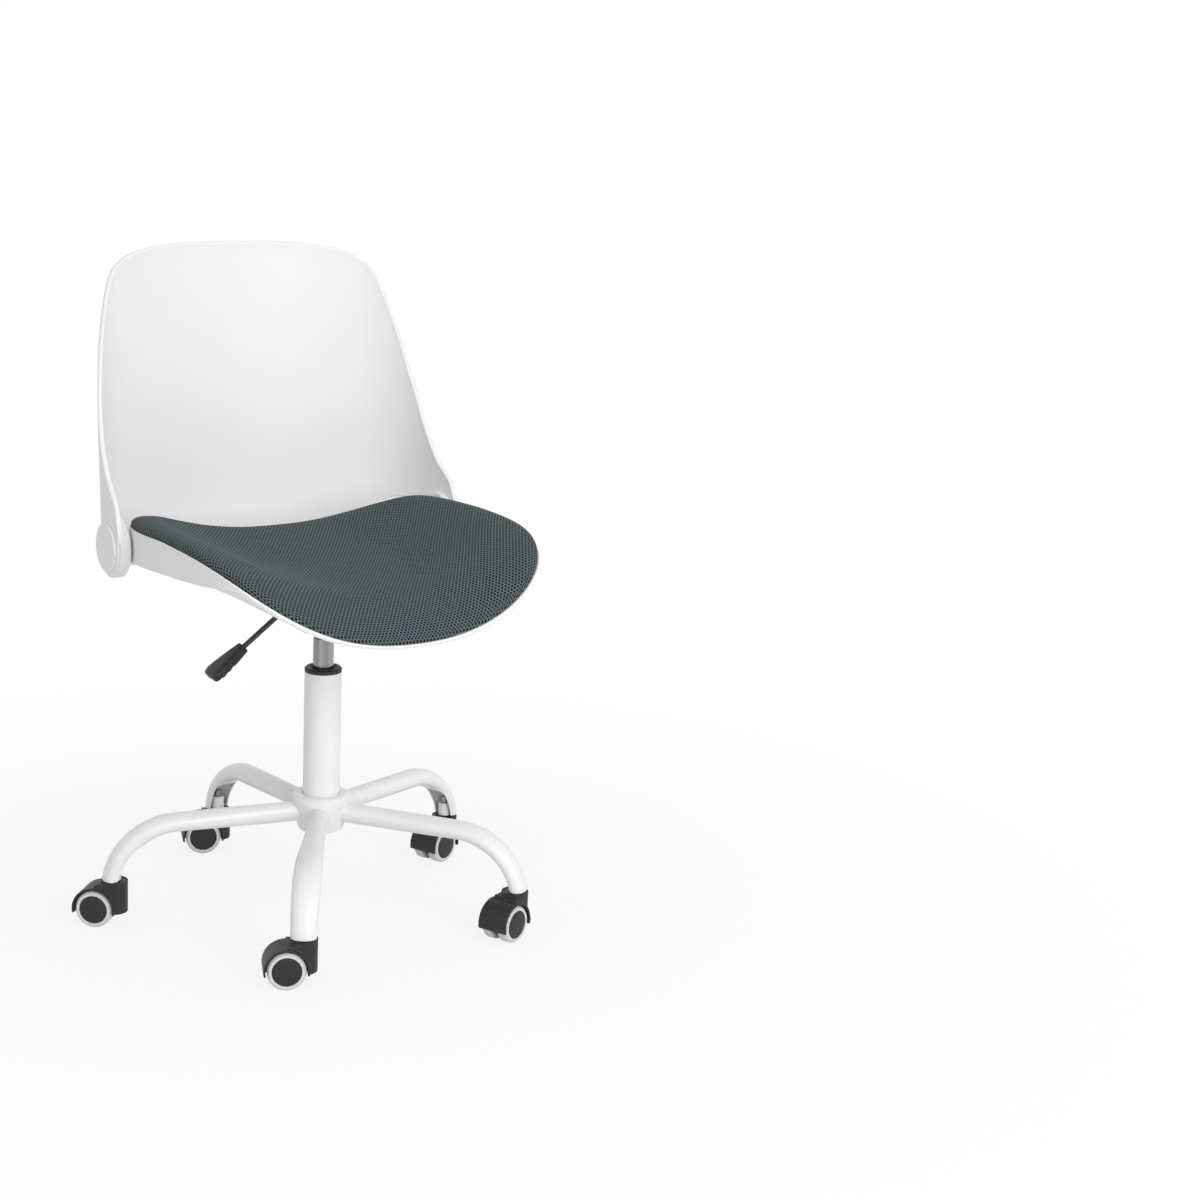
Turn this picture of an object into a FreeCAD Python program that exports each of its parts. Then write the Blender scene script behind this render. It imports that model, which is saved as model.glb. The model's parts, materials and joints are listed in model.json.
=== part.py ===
import FreeCAD, Part
import Sketcher
import math
import os

# Swivel chair with a dished seat and a back that folds forward over it.
# Millimetres, +Z up, origin on the floor under the column, seat front towards -Y.

SIZES = {
    # five-leg base
    "leg_reach": 285.5,
    "stem_inset": 5.5,
    "stem_circle": "=leg_reach - stem_inset",
    "leg_height": 137.0,
    "leg_bend": 90.0,
    "leg_tip": 63.0,
    "leg_tube": 27.0,
    "leg_broad": 37.0,
    "leg_tip_broad": 33.5,
    "leg_deep": 25.0,
    "leg_wall": 1.8,
    "channel_top": 104.0,
    "channel_wide": 27.0,
    "channel_reach": 274.0,
    "hub_dia": 60.0,
    "hub_shoulder_dia": 79.0,
    "hub_low": 115.0,
    "hub_high": 165.0,
    "hub_shoulder_drop": 11.0,
    "hub_round": 4.0,
    # casters
    "wheel_dia": 50.0,
    "wheel_wide": 17.0,
    "wheel_disc": 38.0,
    "wheel_recess": 1.2,
    "caster_trail": 22.0,
    "fork_web": 9.0,
    "hood_gap": 1.6,
    "hood_wall": 3.0,
    "hood_high": 61.5,
    "hood_low": 19.0,
    "hood_neck": 36.0,
    "stem_dia": 11.0,
    "stem_below": 47.0,
    "stem_top": "=leg_height - stem_below",
    "stem_sunk": 12.0,
    "axle_dia": 6.0,
    "socket_dia": 18.0,
    "socket_below": 55.5,
    "socket_top": "=leg_height - socket_below",
    # column and gas lift
    "column_dia": 50.0,
    "column_wall": 2.0,
    "column_low": 117.0,
    "column_high": 335.0,
    "column_floor": 3.0,
    "collar_rise": 6.5,
    "bush_length": 95.0,
    "cylinder_dia": 28.0,
    "cylinder_bore": 23.0,
    "cylinder_low": 172.0,
    "cylinder_floor": 8.0,
    "cylinder_high": 411.0,
    "cylinder_cap": 31.0,
    "taper_length": 25.0,
    "taper_top_dia": 26.8,
    "rod_dia": 10.0,
    "rod_stub_dia": 8.0,
    "rod_flange_dia": 18.0,
    "rod_flange": 3.0,
    "rod_high": 312.0,
    "piston_length": 12.0,
    "bearing_dia": 26.0,
    "bearing_rise": 7.0,
    "clip_dia": 16.0,
    "clip_rise": 2.6,
    "stub_below": 6.0,
    "pin_dia": 8.0,
    "pin_length": 12.0,
    "pin_stroke": 5.0,
    "cup_dia": 34.0,
    "cup_low": 388.0,
    # seat plate, lever
    "plate_wide": 96.0,
    "plate_deep": 90.0,
    "plate_wall": 3.0,
    "plate_low": 402.0,
    "plate_high": 427.0,
    "flange_reach": 30.0,
    "screw_across": 68.0,
    "screw_along": 124.0,
    "screw_dia": 6.0,
    "screw_head_dia": 11.0,
    "screw_head": 4.0,
    "screw_grip": 4.5,
    "pad_dia": 17.0,
    "lever_rod_dia": 7.0,
    "lever_high": 421.0,
    "lever_pivot": 38.0,
    "lever_pivot_dia": 6.0,
    "lever_boss_dia": 12.0,
    "lever_boss_wide": 12.0,
    "lever_bend_at": 56.0,
    "lever_bend_radius": 24.0,
    "lever_drop": 37.5,
    "lever_length": 58.0,
    "handle_length": 60.0,
    "handle_wide": 36.0,
    "handle_neck": 15.0,
    "handle_thick": 14.0,
    # seat
    "seat_half": 238.0,
    "seat_centre": -20.0,
    "seat_fore": 232.0,
    "seat_aft": 223.0,
    "seat_square": 3.8,
    "seat_floor": 433.0,
    "seat_rise": 101.0,
    "seat_front_drop": 1.0,
    "seat_tip_drop": 11.0,
    "seat_rear_rise": 42.0,
    "seat_front_curl": 2.25,
    "seat_rear_curl": 3.0,
    "seat_wall": 4.6,
    "skirt_inset": 0.4,
    "skirt_drop": 19.2,
    "skirt_slope": 0.08,
    "cushion_inset": 5.0,
    "cushion_edge": 4.0,
    "cushion_crown": 42.0,
    "cushion_shoulder": 20.0,
    "cushion_turn": 0.97,
    # hinge of the back
    "hinge_aft": 128.0,
    "hinge_high": 499.0,
    "lug_dia": 52.0,
    "lug_set_in": 26.0,
    "lug_inner": "=seat_half - lug_set_in",
    "lug_clear": 1.8,
    "lug_outer": "=seat_half - lug_clear",
    "hinge_pin_dia": 14.0,
    "hinge_bush_wall": 2.5,
    "boss_dia": 81.0,
    "boss_thick": 17.2,
    "boss_inner": "=lug_outer + 2 * slip_gap",
    "boss_outer": "=boss_inner + boss_thick",
    "cap_dia": 64.0,
    "cap_thick": 4.0,
    # back
    "back_aft": 285.0,
    "back_low": 466.0,
    "back_high": 879.0,
    "back_lean": 4.0,
    "back_wall": 6.0,
    "back_arc": "=1.807 * seat_half",
    "back_arc_turn": 25.0,
    "back_corner": "=0.483 * seat_half",
    "back_corner_turn": 84.0,
    "back_arm": 100.0,
    # clearances
    "run_gap": 0.05,
    "slip_gap": 0.3,
    "wheel_gap": 0.8,
}

# Angles at rest, in degrees about +Z: the legs, and the way each caster trails.
FIRST_LEG = 95.5
LEG_COUNT = 5
CASTER_TURNS = (161.0, 138.0, 158.0, 204.0, 204.0)

# The leg's run: shares of the straight part, then angles round the bend, with what each adds to the breadth.
LEG_FALL = 1.2
LEG_RUN = ((0.12, 0.0), (0.45, 0.0), (0.72, 3.0))
LEG_BEND = ((0.0, -2.0), (18.0, 0.0), (36.0, 0.0), (54.0, -1.0))
LEG_TIP_BEND = ((70.0, 1.0), (84.0, 0.0))

# The handle along its length: share, how far it has broadened, how thick it is.
HANDLE_RUN = ((0.0, 0.0, 0.9), (0.25, 0.35, 1.0), (0.75, 1.0, 1.0), (1.0, 0.8, 0.75))
HANDLE_CORNER = 0.3

# Points laid over the seat's area for its faces, finer for the cushion, and round its outline.
SEAT_STEPS = 25
CUSHION_STEPS = 45
OUTLINE_STEPS = 64
SEAT_MARGIN = 12.0

# The back's front edge from the hinge boss up: first in boss radii, then in shares of reach and rise.
BACK_NECK = ((-0.97, 0.25), (-0.8, 0.9), (-0.42, 1.55))
BACK_FRONT = ((0.05, 0.215), (0.24, 0.31), (0.43, 0.463), (0.64, 0.69), (0.74, 1.05))
# The back's lower edge: shares of reach, and heights in boss radii.
BACK_UNDER = ((0.36, 0.52), (0.55, 0.47), (0.74, 0.084), (0.87, -0.338))
# The back's top corner: shares of the seat's half width, and the drop below the top edge.
BACK_CORNER = ((0.0, 0.0), (0.34, 1.2), (0.57, 6.5), (0.745, 19.0), (0.85, 43.0), (0.905, 80.0), (0.955, 125.0))
BACK_SKIRT = 0.8

doc = FreeCAD.newDocument("chair")
sheet = doc.addObject("Spreadsheet::Sheet", "Sizes")
for row, alias in enumerate(SIZES, start=1):
    sheet.set(f"A{row}", alias)
    sheet.setAlias(f"B{row}", alias)
for row, content in enumerate(SIZES.values(), start=1):
    sheet.set(f"B{row}", str(content))
doc.recompute()


def size(alias):
    """Give one driving dimension as the sheet holds it."""
    return float(sheet.get(alias))


def bound(text):
    """Write an expression with every alias tied to the sheet."""
    words = []
    word = ""
    for letter in text + " ":
        if letter.isalnum() or letter == "_":
            word += letter
            continue
        words.append(f"Sizes.{word}" if word in SIZES else word)
        words.append(letter)
        word = ""
    return "".join(words).strip()


def turned_z(degrees):
    """Give a rotation about +Z."""
    return FreeCAD.Rotation(FreeCAD.Vector(0, 0, 1), degrees)


ALONG_X = FreeCAD.Rotation(FreeCAD.Vector(0, 1, 0), 90)
ALONG_Y = FreeCAD.Rotation(FreeCAD.Vector(1, 0, 0), -90)
UPRIGHT = FreeCAD.Rotation()

subparts = []


def keep(obj, label, placement=None):
    """Name an object as a sub-part and put it in its place."""
    obj.Label = label
    if placement is not None:
        obj.Placement = placement
    subparts.append(obj)
    return obj


def formed(shape, label, placement=None):
    """Keep a shape made with surfaces as a sub-part."""
    obj = doc.addObject("Part::Feature", label)
    obj.Shape = shape
    return keep(obj, label, placement)


def revolved(outline, label, placement=None):
    """Turn an outline of (radius, height) expressions about the Z axis."""
    body = doc.addObject("PartDesign::Body", label)
    planes = {plane.Role: plane for plane in body.Origin.OriginFeatures}
    sketch = body.newObject("Sketcher::SketchObject", f"{label}_outline")
    sketch.AttachmentSupport = [(planes["XZ_Plane"], "")]
    sketch.MapMode = "FlatFace"
    corners = []
    for across, up in outline:
        corners.append(FreeCAD.Vector(number_of(across), number_of(up), 0))
    count = len(corners)
    for index, corner in enumerate(corners):
        sketch.addGeometry(Part.LineSegment(corner, corners[(index + 1) % count]), False)
    for index in range(count):
        following = (index + 1) % count
        sketch.addConstraint(Sketcher.Constraint("Coincident", index, 2, following, 1))
    for index, (across, up) in enumerate(outline):
        if across == "0":
            sketch.addConstraint(Sketcher.Constraint("PointOnObject", index, 1, -2))
        else:
            pin_down(sketch, "DistanceX", index, across)
        pin_down(sketch, "DistanceY", index, up)
    turn = body.newObject("PartDesign::Revolution", f"{label}_turn")
    turn.Profile = sketch
    turn.ReferenceAxis = (sketch, ["V_Axis"])
    turn.Angle = 360.0
    return keep(body, label, placement)


def pin_down(sketch, kind, index, text):
    """Hold the start of a line at a distance given by an expression."""
    place = sketch.addConstraint(Sketcher.Constraint(kind, -1, 1, index, 1, number_of(text)))
    sketch.setExpression(f"Constraints[{place}]", bound(text))


def number_of(text):
    """Work out an expression of aliases as a number."""
    probe = sheet.evalExpression(bound(text).replace("Sizes.", ""))
    return float(probe)


def cylinder(radius, length, place=("0", "0", "0"), turn=UPRIGHT):
    """Make a cylinder from expressions, starting at a place."""
    obj = doc.addObject("Part::Cylinder", "round")
    obj.setExpression("Radius", bound(radius))
    obj.setExpression("Height", bound(length))
    return set_down(obj, place, turn)


def box(wide, deep, high, place):
    """Make a box from expressions, centred on a place in X and Y and standing on it."""
    obj = doc.addObject("Part::Box", "block")
    obj.setExpression("Length", bound(wide))
    obj.setExpression("Width", bound(deep))
    obj.setExpression("Height", bound(high))
    across, along, up = place
    corner = (f"{across} - ({wide}) / 2", f"{along} - ({deep}) / 2", up)
    return set_down(obj, corner, UPRIGHT)


def set_down(obj, place, turn):
    """Place a primitive with expressions."""
    obj.Placement = FreeCAD.Placement(FreeCAD.Vector(0, 0, 0), turn)
    for axis, text in zip("xyz", place):
        obj.setExpression(f"Placement.Base.{axis}", bound(text))
    return obj


def joined(pieces):
    """Fuse objects into one."""
    obj = doc.addObject("Part::MultiFuse", "joined")
    obj.Shapes = pieces
    return obj


def less(base, tools):
    """Cut objects out of another."""
    obj = doc.addObject("Part::Cut", "less")
    obj.Base = base
    obj.Tool = tools[0] if len(tools) == 1 else joined(tools)
    return obj


def grouped(pieces):
    """Hold several solids together as one object."""
    obj = doc.addObject("Part::Compound", "group")
    obj.Links = pieces
    return obj


def make_column():
    """Make the hub, the column tube, its collar and the guide bush inside it."""
    revolved([
        ("column_dia / 2", "hub_low"),
        ("hub_dia / 2", "hub_low"),
        ("hub_shoulder_dia / 2", "hub_high - hub_shoulder_drop"),
        ("hub_shoulder_dia / 2", "hub_high - hub_round"),
        ("hub_shoulder_dia / 2 - hub_round", "hub_high"),
        ("column_dia / 2", "hub_high"),
    ], "base_hub")
    revolved([
        ("rod_stub_dia / 2 + run_gap", "column_low"),
        ("column_dia / 2", "column_low"),
        ("column_dia / 2", "column_high"),
        ("column_dia / 2 - column_wall", "column_high"),
        ("column_dia / 2 - column_wall", "column_low + column_floor"),
        ("rod_stub_dia / 2 + run_gap", "column_low + column_floor"),
    ], "column_tube")
    revolved([
        ("cylinder_dia / 2 + 2 * slip_gap", "column_high"),
        ("column_dia / 2", "column_high"),
        ("column_dia / 2", "column_high + collar_rise * 0.7"),
        ("column_dia / 2 - collar_rise * 0.3", "column_high + collar_rise"),
        ("column_dia / 2 - collar_rise", "column_high + collar_rise"),
        ("cylinder_dia / 2 + 2 * slip_gap", "column_high + collar_rise * 0.4"),
    ], "column_collar")
    revolved([
        ("cylinder_dia / 2 + run_gap", "column_high - bush_length"),
        ("column_dia / 2 - column_wall", "column_high - bush_length"),
        ("column_dia / 2 - column_wall", "column_high"),
        ("cylinder_dia / 2 + run_gap", "column_high"),
    ], "guide_bush")
    revolved([
        ("rod_stub_dia / 2 + run_gap", "column_low + column_floor"),
        ("bearing_dia / 2", "column_low + column_floor"),
        ("bearing_dia / 2", "column_low + column_floor + bearing_rise"),
        ("rod_stub_dia / 2 + run_gap", "column_low + column_floor + bearing_rise"),
    ], "thrust_bearing")


def make_gas_lift():
    """Make the piston rod with its clip, the gas cylinder, its release pin and the taper cup."""
    shoulder = "column_low + column_floor + bearing_rise + slip_gap"
    revolved([
        ("0", "column_low - stub_below"),
        ("rod_stub_dia / 2", "column_low - stub_below"),
        ("rod_stub_dia / 2", shoulder),
        ("rod_flange_dia / 2", shoulder),
        ("rod_flange_dia / 2", f"{shoulder} + rod_flange"),
        ("rod_dia / 2", f"{shoulder} + rod_flange"),
        ("rod_dia / 2", "rod_high - piston_length"),
        ("cylinder_bore / 2 - run_gap", "rod_high - piston_length"),
        ("cylinder_bore / 2 - run_gap", "rod_high"),
        ("0", "rod_high"),
    ], "piston_rod")
    revolved([
        ("rod_stub_dia / 2", "column_low - slip_gap - clip_rise"),
        ("clip_dia / 2", "column_low - slip_gap - clip_rise"),
        ("clip_dia / 2", "column_low - slip_gap"),
        ("rod_stub_dia / 2", "column_low - slip_gap"),
    ], "rod_clip")
    revolved([
        ("rod_dia / 2 + run_gap", "cylinder_low"),
        ("cylinder_dia / 2", "cylinder_low"),
        ("cylinder_dia / 2", "cylinder_high - taper_length"),
        ("taper_top_dia / 2", "cylinder_high"),
        ("pin_dia / 2 + run_gap", "cylinder_high"),
        ("pin_dia / 2 + run_gap", "cylinder_high - pin_length"),
        ("0", "cylinder_high - pin_length"),
        ("0", "cylinder_high - cylinder_cap"),
        ("cylinder_bore / 2", "cylinder_high - cylinder_cap"),
        ("cylinder_bore / 2", "cylinder_low + cylinder_floor"),
        ("rod_dia / 2 + run_gap", "cylinder_low + cylinder_floor"),
    ], "gas_cylinder")
    revolved([
        ("0", "cylinder_high - pin_length + pin_stroke"),
        ("pin_dia / 2", "cylinder_high - pin_length + pin_stroke"),
        ("pin_dia / 2", "lever_high - lever_rod_dia / 2 - slip_gap"),
        ("0", "lever_high - lever_rod_dia / 2 - slip_gap"),
    ], "release_pin")
    slope = "(cylinder_dia - taper_top_dia) / 2 / taper_length"
    revolved([
        (f"taper_top_dia / 2 + (cylinder_high - cup_low) * {slope}", "cup_low"),
        ("cup_dia / 2", "cup_low"),
        ("cup_dia / 2", "cylinder_high"),
        ("taper_top_dia / 2", "cylinder_high"),
    ], "taper_cup")


def leg_path(angle):
    """Give the centre of a leg at an angle round its bend."""
    turn = math.radians(angle)
    start = size("leg_reach") - size("leg_bend")
    across = start + size("leg_bend") * math.sin(turn)
    up = size("leg_height") - size("leg_bend") * (1 - math.cos(turn))
    return across, up


def leg_sections():
    """List the leg's oval sections as (reach, height, slope, breadth, depth)."""
    tube = size("leg_tube")
    broad = size("leg_broad")
    deep = size("leg_deep")
    bend_start = size("leg_reach") - size("leg_bend")
    slope = math.radians(LEG_FALL)
    sections = []
    for share, extra in LEG_RUN:
        reach = bend_start * share
        height = size("leg_height") + (bend_start - reach) * math.tan(slope)
        sections.append((reach, height, 0.0, tube + extra, tube - extra / 6))
    steps = [(angle, broad + extra) for angle, extra in LEG_BEND]
    steps += [(angle, size("leg_tip_broad") + extra) for angle, extra in LEG_TIP_BEND]
    for angle, wide in steps:
        reach, height = leg_path(angle)
        sections.append((reach, height, angle, wide, deep))
    return sections


def oval(reach, height, turn, wide, deep):
    """Make one oval section of a leg that runs out along +X."""
    wide_half = max(wide, deep + 0.02) / 2
    ring = Part.Ellipse(FreeCAD.Vector(0, 0, 0), wide_half, deep / 2).toShape()
    wire = Part.Wire([ring])
    along = FreeCAD.Vector(math.cos(math.radians(turn)), 0, -math.sin(math.radians(turn)))
    side = FreeCAD.Vector(0, 1, 0)
    spin = FreeCAD.Rotation(side, along.cross(side), along, "ZXY")
    wire.Placement = FreeCAD.Placement(FreeCAD.Vector(reach, 0, height), spin)
    return wire


def make_legs(hub):
    """Make the five bent legs, each an oval tube with an open channel at its tip."""
    wall = size("leg_wall")
    outer = Part.makeLoft([oval(*section) for section in leg_sections()], True)
    inner = Part.makeLoft([oval(r, z, turn, w - 2 * wall, d - 2 * wall)
                           for r, z, turn, w, d in leg_sections()], True)
    tube = outer.cut(inner)
    reach = size("channel_reach")
    high = size("channel_top") - size("leg_tip")
    wide = size("channel_wide")
    channel = Part.makeBox(reach, wide, high, FreeCAD.Vector(0, -wide / 2, size("leg_tip")))
    below = Part.makeBox(2 * reach, 4 * wide, size("leg_tip"), FreeCAD.Vector(0, -2 * wide, 0))
    core = Part.makeCylinder(size("hub_dia") / 2, size("hub_high") - size("hub_low"),
                             FreeCAD.Vector(0, 0, size("hub_low")))
    tube = tube.cut(Part.makeCompound([channel.cut(core), below]))
    tube = tube.cut(core.fuse(hub.Shape))
    for index in range(LEG_COUNT):
        angle = FIRST_LEG + index * 360.0 / LEG_COUNT
        place = FreeCAD.Placement(FreeCAD.Vector(0, 0, 0), turned_z(angle))
        formed(tube.copy(), f"leg_{index + 1}", place)


def make_sockets():
    """Make the stem sockets welded into the leg tips."""
    rings = []
    length = size("socket_top") - size("leg_tip")
    for index in range(LEG_COUNT):
        angle = math.radians(FIRST_LEG + index * 360.0 / LEG_COUNT)
        reach = size("stem_circle")
        foot = FreeCAD.Vector(reach * math.cos(angle), reach * math.sin(angle), size("leg_tip"))
        sleeve = Part.makeCylinder(size("socket_dia") / 2, length, foot)
        bore = Part.makeCylinder(size("stem_dia") / 2 + size("run_gap"), length, foot)
        rings.append(sleeve.cut(bore))
    formed(Part.makeCompound(rings), "caster_sockets")


def make_caster(number, angle, turn):
    """Make one twin-wheel caster under the end of a leg."""
    reach = size("stem_circle")
    foot = FreeCAD.Vector(reach * math.cos(angle), reach * math.sin(angle), 0)
    place = FreeCAD.Placement(foot, turned_z(turn))
    name = f"caster_{number}"
    width = "fork_web + 2 * (wheel_wide + wheel_gap)"
    hood_radius = "wheel_dia / 2 + hood_gap + hood_wall"
    axle = ("caster_trail", f"-({width}) / 2", "wheel_dia / 2")
    dome = cylinder(hood_radius, width, axle, ALONG_Y)
    neck = cylinder("hood_neck / 2", "hood_high - hood_low", ("0", "0", "hood_low"))
    bridge = box("caster_trail", "hood_neck", "hood_high - wheel_dia / 2 - hood_wall",
                 ("caster_trail / 2", "0", "wheel_dia / 2"))
    cuts = []
    for side in ("fork_web / 2", f"-fork_web / 2 - ({width})"):
        room = ("caster_trail", side, "wheel_dia / 2")
        cuts.append(cylinder("wheel_dia / 2 + hood_gap", width, room, ALONG_Y))
    cuts.append(box("6 * hood_neck", "4 * hood_neck", "hood_low + hood_neck", ("0", "0", "-hood_neck")))
    cuts.append(cylinder("stem_dia / 2", "hood_high", ("0", "0", "hood_high - stem_sunk")))
    cuts.append(cylinder("axle_dia / 2", width, axle, ALONG_Y))
    keep(less(joined([dome, neck, bridge]), cuts), f"{name}_hood", place)

    stem = cylinder("stem_dia / 2", "stem_top - hood_high + stem_sunk", ("0", "0", "hood_high - stem_sunk"))
    pin = cylinder("axle_dia / 2", f"{width} - 2 * wheel_recess",
                   ("caster_trail", f"-({width}) / 2 + wheel_recess", "wheel_dia / 2"), ALONG_Y)
    keep(grouped([stem, pin]), f"{name}_pins", place)

    offset = size("fork_web") / 2 + size("wheel_gap")
    hub = FreeCAD.Vector(size("caster_trail"), 0, size("wheel_dia") / 2)
    for letter, flip in (("a", 1), ("b", -1)):
        spin = FreeCAD.Rotation(FreeCAD.Vector(1, 0, 0), -90 * flip)
        seat = FreeCAD.Placement(hub + FreeCAD.Vector(0, flip * offset, 0), spin)
        wheel_place = place.multiply(seat)
        revolved([
            ("axle_dia / 2 + run_gap", "0"),
            ("wheel_disc / 2", "0"),
            ("wheel_disc / 2", "wheel_wide - wheel_recess"),
            ("wheel_disc / 2 - 2 * wheel_recess", "wheel_wide"),
            ("axle_dia + wheel_recess", "wheel_wide"),
            ("axle_dia", "wheel_wide - wheel_recess"),
            ("axle_dia / 2 + run_gap", "wheel_wide - wheel_recess"),
        ], f"{name}_wheel_{letter}", wheel_place)
        revolved([
            ("wheel_disc / 2", "0"),
            ("wheel_dia / 2 - wheel_recess", "0"),
            ("wheel_dia / 2", "wheel_recess"),
            ("wheel_dia / 2", "wheel_wide - 3 * wheel_recess"),
            ("wheel_dia / 2 - 2 * wheel_recess", "wheel_wide - wheel_recess"),
            ("wheel_disc / 2", "wheel_wide - wheel_recess"),
        ], f"{name}_tread_{letter}", wheel_place)


def make_casters():
    """Make the five casters."""
    for index, turn in enumerate(CASTER_TURNS):
        angle = math.radians(FIRST_LEG + index * 360.0 / LEG_COUNT)
        make_caster(index + 1, angle, turn)


def make_seat_plate():
    """Make the pressed pan under the seat, its screws and the pivot pin of the lever."""
    pan = box("plate_wide", "plate_deep", "plate_high - plate_low", ("0", "0", "plate_low"))
    flange = box("plate_wide", "plate_deep + 2 * flange_reach", "plate_wall",
                 ("0", "0", "plate_high - plate_wall"))
    inside = box("plate_wide - 2 * plate_wall", "plate_deep - 2 * plate_wall", "plate_high - plate_low",
                 ("0", "0", "plate_low + plate_wall"))
    mouth = cylinder("cup_dia / 2", "3 * plate_wall", ("0", "0", "plate_low - plate_wall"))
    slot = cylinder("lever_rod_dia / 2 + 5 * slip_gap", "3 * plate_wall",
                    ("-plate_wide / 2 - plate_wall", "0", "lever_high"), ALONG_X)
    pivot_spot = ("-lever_pivot", "-plate_deep / 2", "lever_high")
    pivot = cylinder("lever_pivot_dia / 2", "plate_deep", pivot_spot, ALONG_Y)
    holes = []
    for across in (-1, 1):
        for along in (-1, 1):
            spot = (f"{across} * screw_across / 2", f"{along} * screw_along / 2", "plate_low")
            holes.append(cylinder("screw_dia / 2", "plate_high - plate_low", spot))
    keep(less(joined([pan, flange]), [inside, mouth, slot, pivot] + holes), "seat_plate")

    screws = []
    for across in (-1, 1):
        for along in (-1, 1):
            spot = (f"{across} * screw_across / 2", f"{along} * screw_along / 2")
            seat = "plate_high - plate_wall"
            head = cylinder("screw_head_dia / 2", "screw_head", spot + (f"{seat} - screw_head",))
            shank = cylinder("screw_dia / 2", "plate_wall + screw_grip", spot + (seat,))
            screws.append(joined([head, shank]))
    keep(grouped(screws), "plate_screws")
    keep(cylinder("lever_pivot_dia / 2", "plate_deep", pivot_spot, ALONG_Y), "lever_pivot_pin")


def lever_line():
    """Give the end of the lever's bend and the direction of its lower run."""
    drop = math.radians(size("lever_drop"))
    radius = size("lever_bend_radius")
    bend = FreeCAD.Vector(-size("lever_bend_at") - radius * math.sin(drop), 0,
                          size("lever_high") - radius * (1 - math.cos(drop)))
    along = FreeCAD.Vector(-math.cos(drop), 0, -math.sin(drop))
    return bend, along


def make_lever():
    """Make the bent lever rod with its pivot boss, and the paddle handle on its end."""
    radius = size("lever_rod_dia") / 2
    high = size("lever_high")
    drop = math.radians(size("lever_drop"))
    bend_radius = size("lever_bend_radius")
    inner = FreeCAD.Vector(size("pin_dia") / 2, 0, high)
    bend_start = FreeCAD.Vector(-size("lever_bend_at"), 0, high)
    bend_end, along = lever_line()
    middle = FreeCAD.Vector(bend_start.x - bend_radius * math.sin(drop / 2), 0,
                            high - bend_radius * (1 - math.cos(drop / 2)))
    rod_end = bend_end + along * (size("lever_length") + size("handle_length") / 2)
    path = Part.Wire([
        Part.makeLine(inner, bend_start),
        Part.Arc(bend_start, middle, bend_end).toShape(),
        Part.makeLine(bend_end, rod_end),
    ])
    ring = Part.Wire([Part.makeCircle(radius, inner, FreeCAD.Vector(-1, 0, 0))])
    rod = path.makePipeShell([ring], True, False)
    wide = size("lever_boss_wide")
    spot = FreeCAD.Vector(-size("lever_pivot"), -wide / 2, high)
    aft = FreeCAD.Vector(0, 1, 0)
    boss = Part.makeCylinder(size("lever_boss_dia") / 2, wide, spot, aft)
    bore = Part.makeCylinder(size("lever_pivot_dia") / 2 + size("run_gap"), wide, spot, aft)
    formed(rod.fuse(boss).cut(bore), "lever_rod")

    neck = bend_end + along * size("lever_length")
    spin = FreeCAD.Rotation(FreeCAD.Vector(0, -1, 0), FreeCAD.Vector(0, 0, 1), along, "ZXY")
    rings = []
    for share, breadth, depth in HANDLE_RUN:
        wide = size("handle_neck") + (size("handle_wide") - size("handle_neck")) * breadth
        thick = size("handle_thick") * depth
        frame = rounded_rectangle(wide, thick, HANDLE_CORNER * thick)
        frame.Placement = FreeCAD.Placement(neck + along * (size("handle_length") * share), spin)
        rings.append(frame)
    paddle = Part.makeLoft(rings, True, True)
    formed(paddle.cut(rod), "lever_handle")


def rounded_rectangle(wide, deep, corner):
    """Make a rounded rectangle in the XY plane."""
    across = wide / 2 - corner
    along = deep / 2 - corner
    edges = []
    for quarter, (sx, sy) in enumerate(((1, 1), (-1, 1), (-1, -1), (1, -1))):
        centre = FreeCAD.Vector(sx * across, sy * along, 0)
        first = math.radians(90 * quarter)
        spots = []
        for step in (0, 45, 90):
            angle = first + math.radians(step)
            spots.append(centre + FreeCAD.Vector(corner * math.cos(angle), corner * math.sin(angle), 0))
        edges.append(Part.Arc(*spots).toShape())
    sides = []
    for index, edge in enumerate(edges):
        sides.append(edge)
        start = edge.Vertexes[1].Point
        end = edges[(index + 1) % 4].Vertexes[0].Point
        sides.append(Part.makeLine(start, end))
    return Part.Wire(sides)


def seat_height(across, along):
    """Give the height of the seat pan's upper face."""
    front = size("seat_centre") - size("seat_fore")
    rear = size("seat_centre") + size("seat_aft")
    fore = max(0.0, (-along - 0.25 * size("seat_fore")) / (-front - 0.25 * size("seat_fore")))
    aft = max(0.0, along / rear)
    middle = size("seat_floor") - size("seat_front_drop") * fore ** 2 + size("seat_rear_rise") * aft ** 2
    share = min(1.1, max(0.0, (along - front) / (rear - front)))
    curl = size("seat_front_curl") + (size("seat_rear_curl") - size("seat_front_curl")) * share ** 2
    flank = abs(across) / size("seat_half")
    near = (along - size("seat_centre")) / (size("hinge_aft") - size("seat_centre"))
    near = min(1.0, max(0.0, near))
    tip = size("seat_tip_drop") * flank ** 6 * near ** 2 * (3 - 2 * near)
    return middle + size("seat_rise") * flank ** curl - tip


def seat_underside(across, along):
    """Give the height of the seat pan's lower face."""
    wall = size("seat_wall")
    return seat_height(max(0.0, abs(across) - 0.9 * wall), along) - wall


def seat_edge_share(across, along, inset):
    """Give how far a point lies towards the seat's outline, 1 on it."""
    square = size("seat_square")
    away = along - size("seat_centre")
    deep = (size("seat_aft") if away > 0 else size("seat_fore")) - inset
    wide = size("seat_half") - inset
    return ((abs(across) / wide) ** square + (abs(away) / deep) ** square) ** (1 / square)


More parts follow.
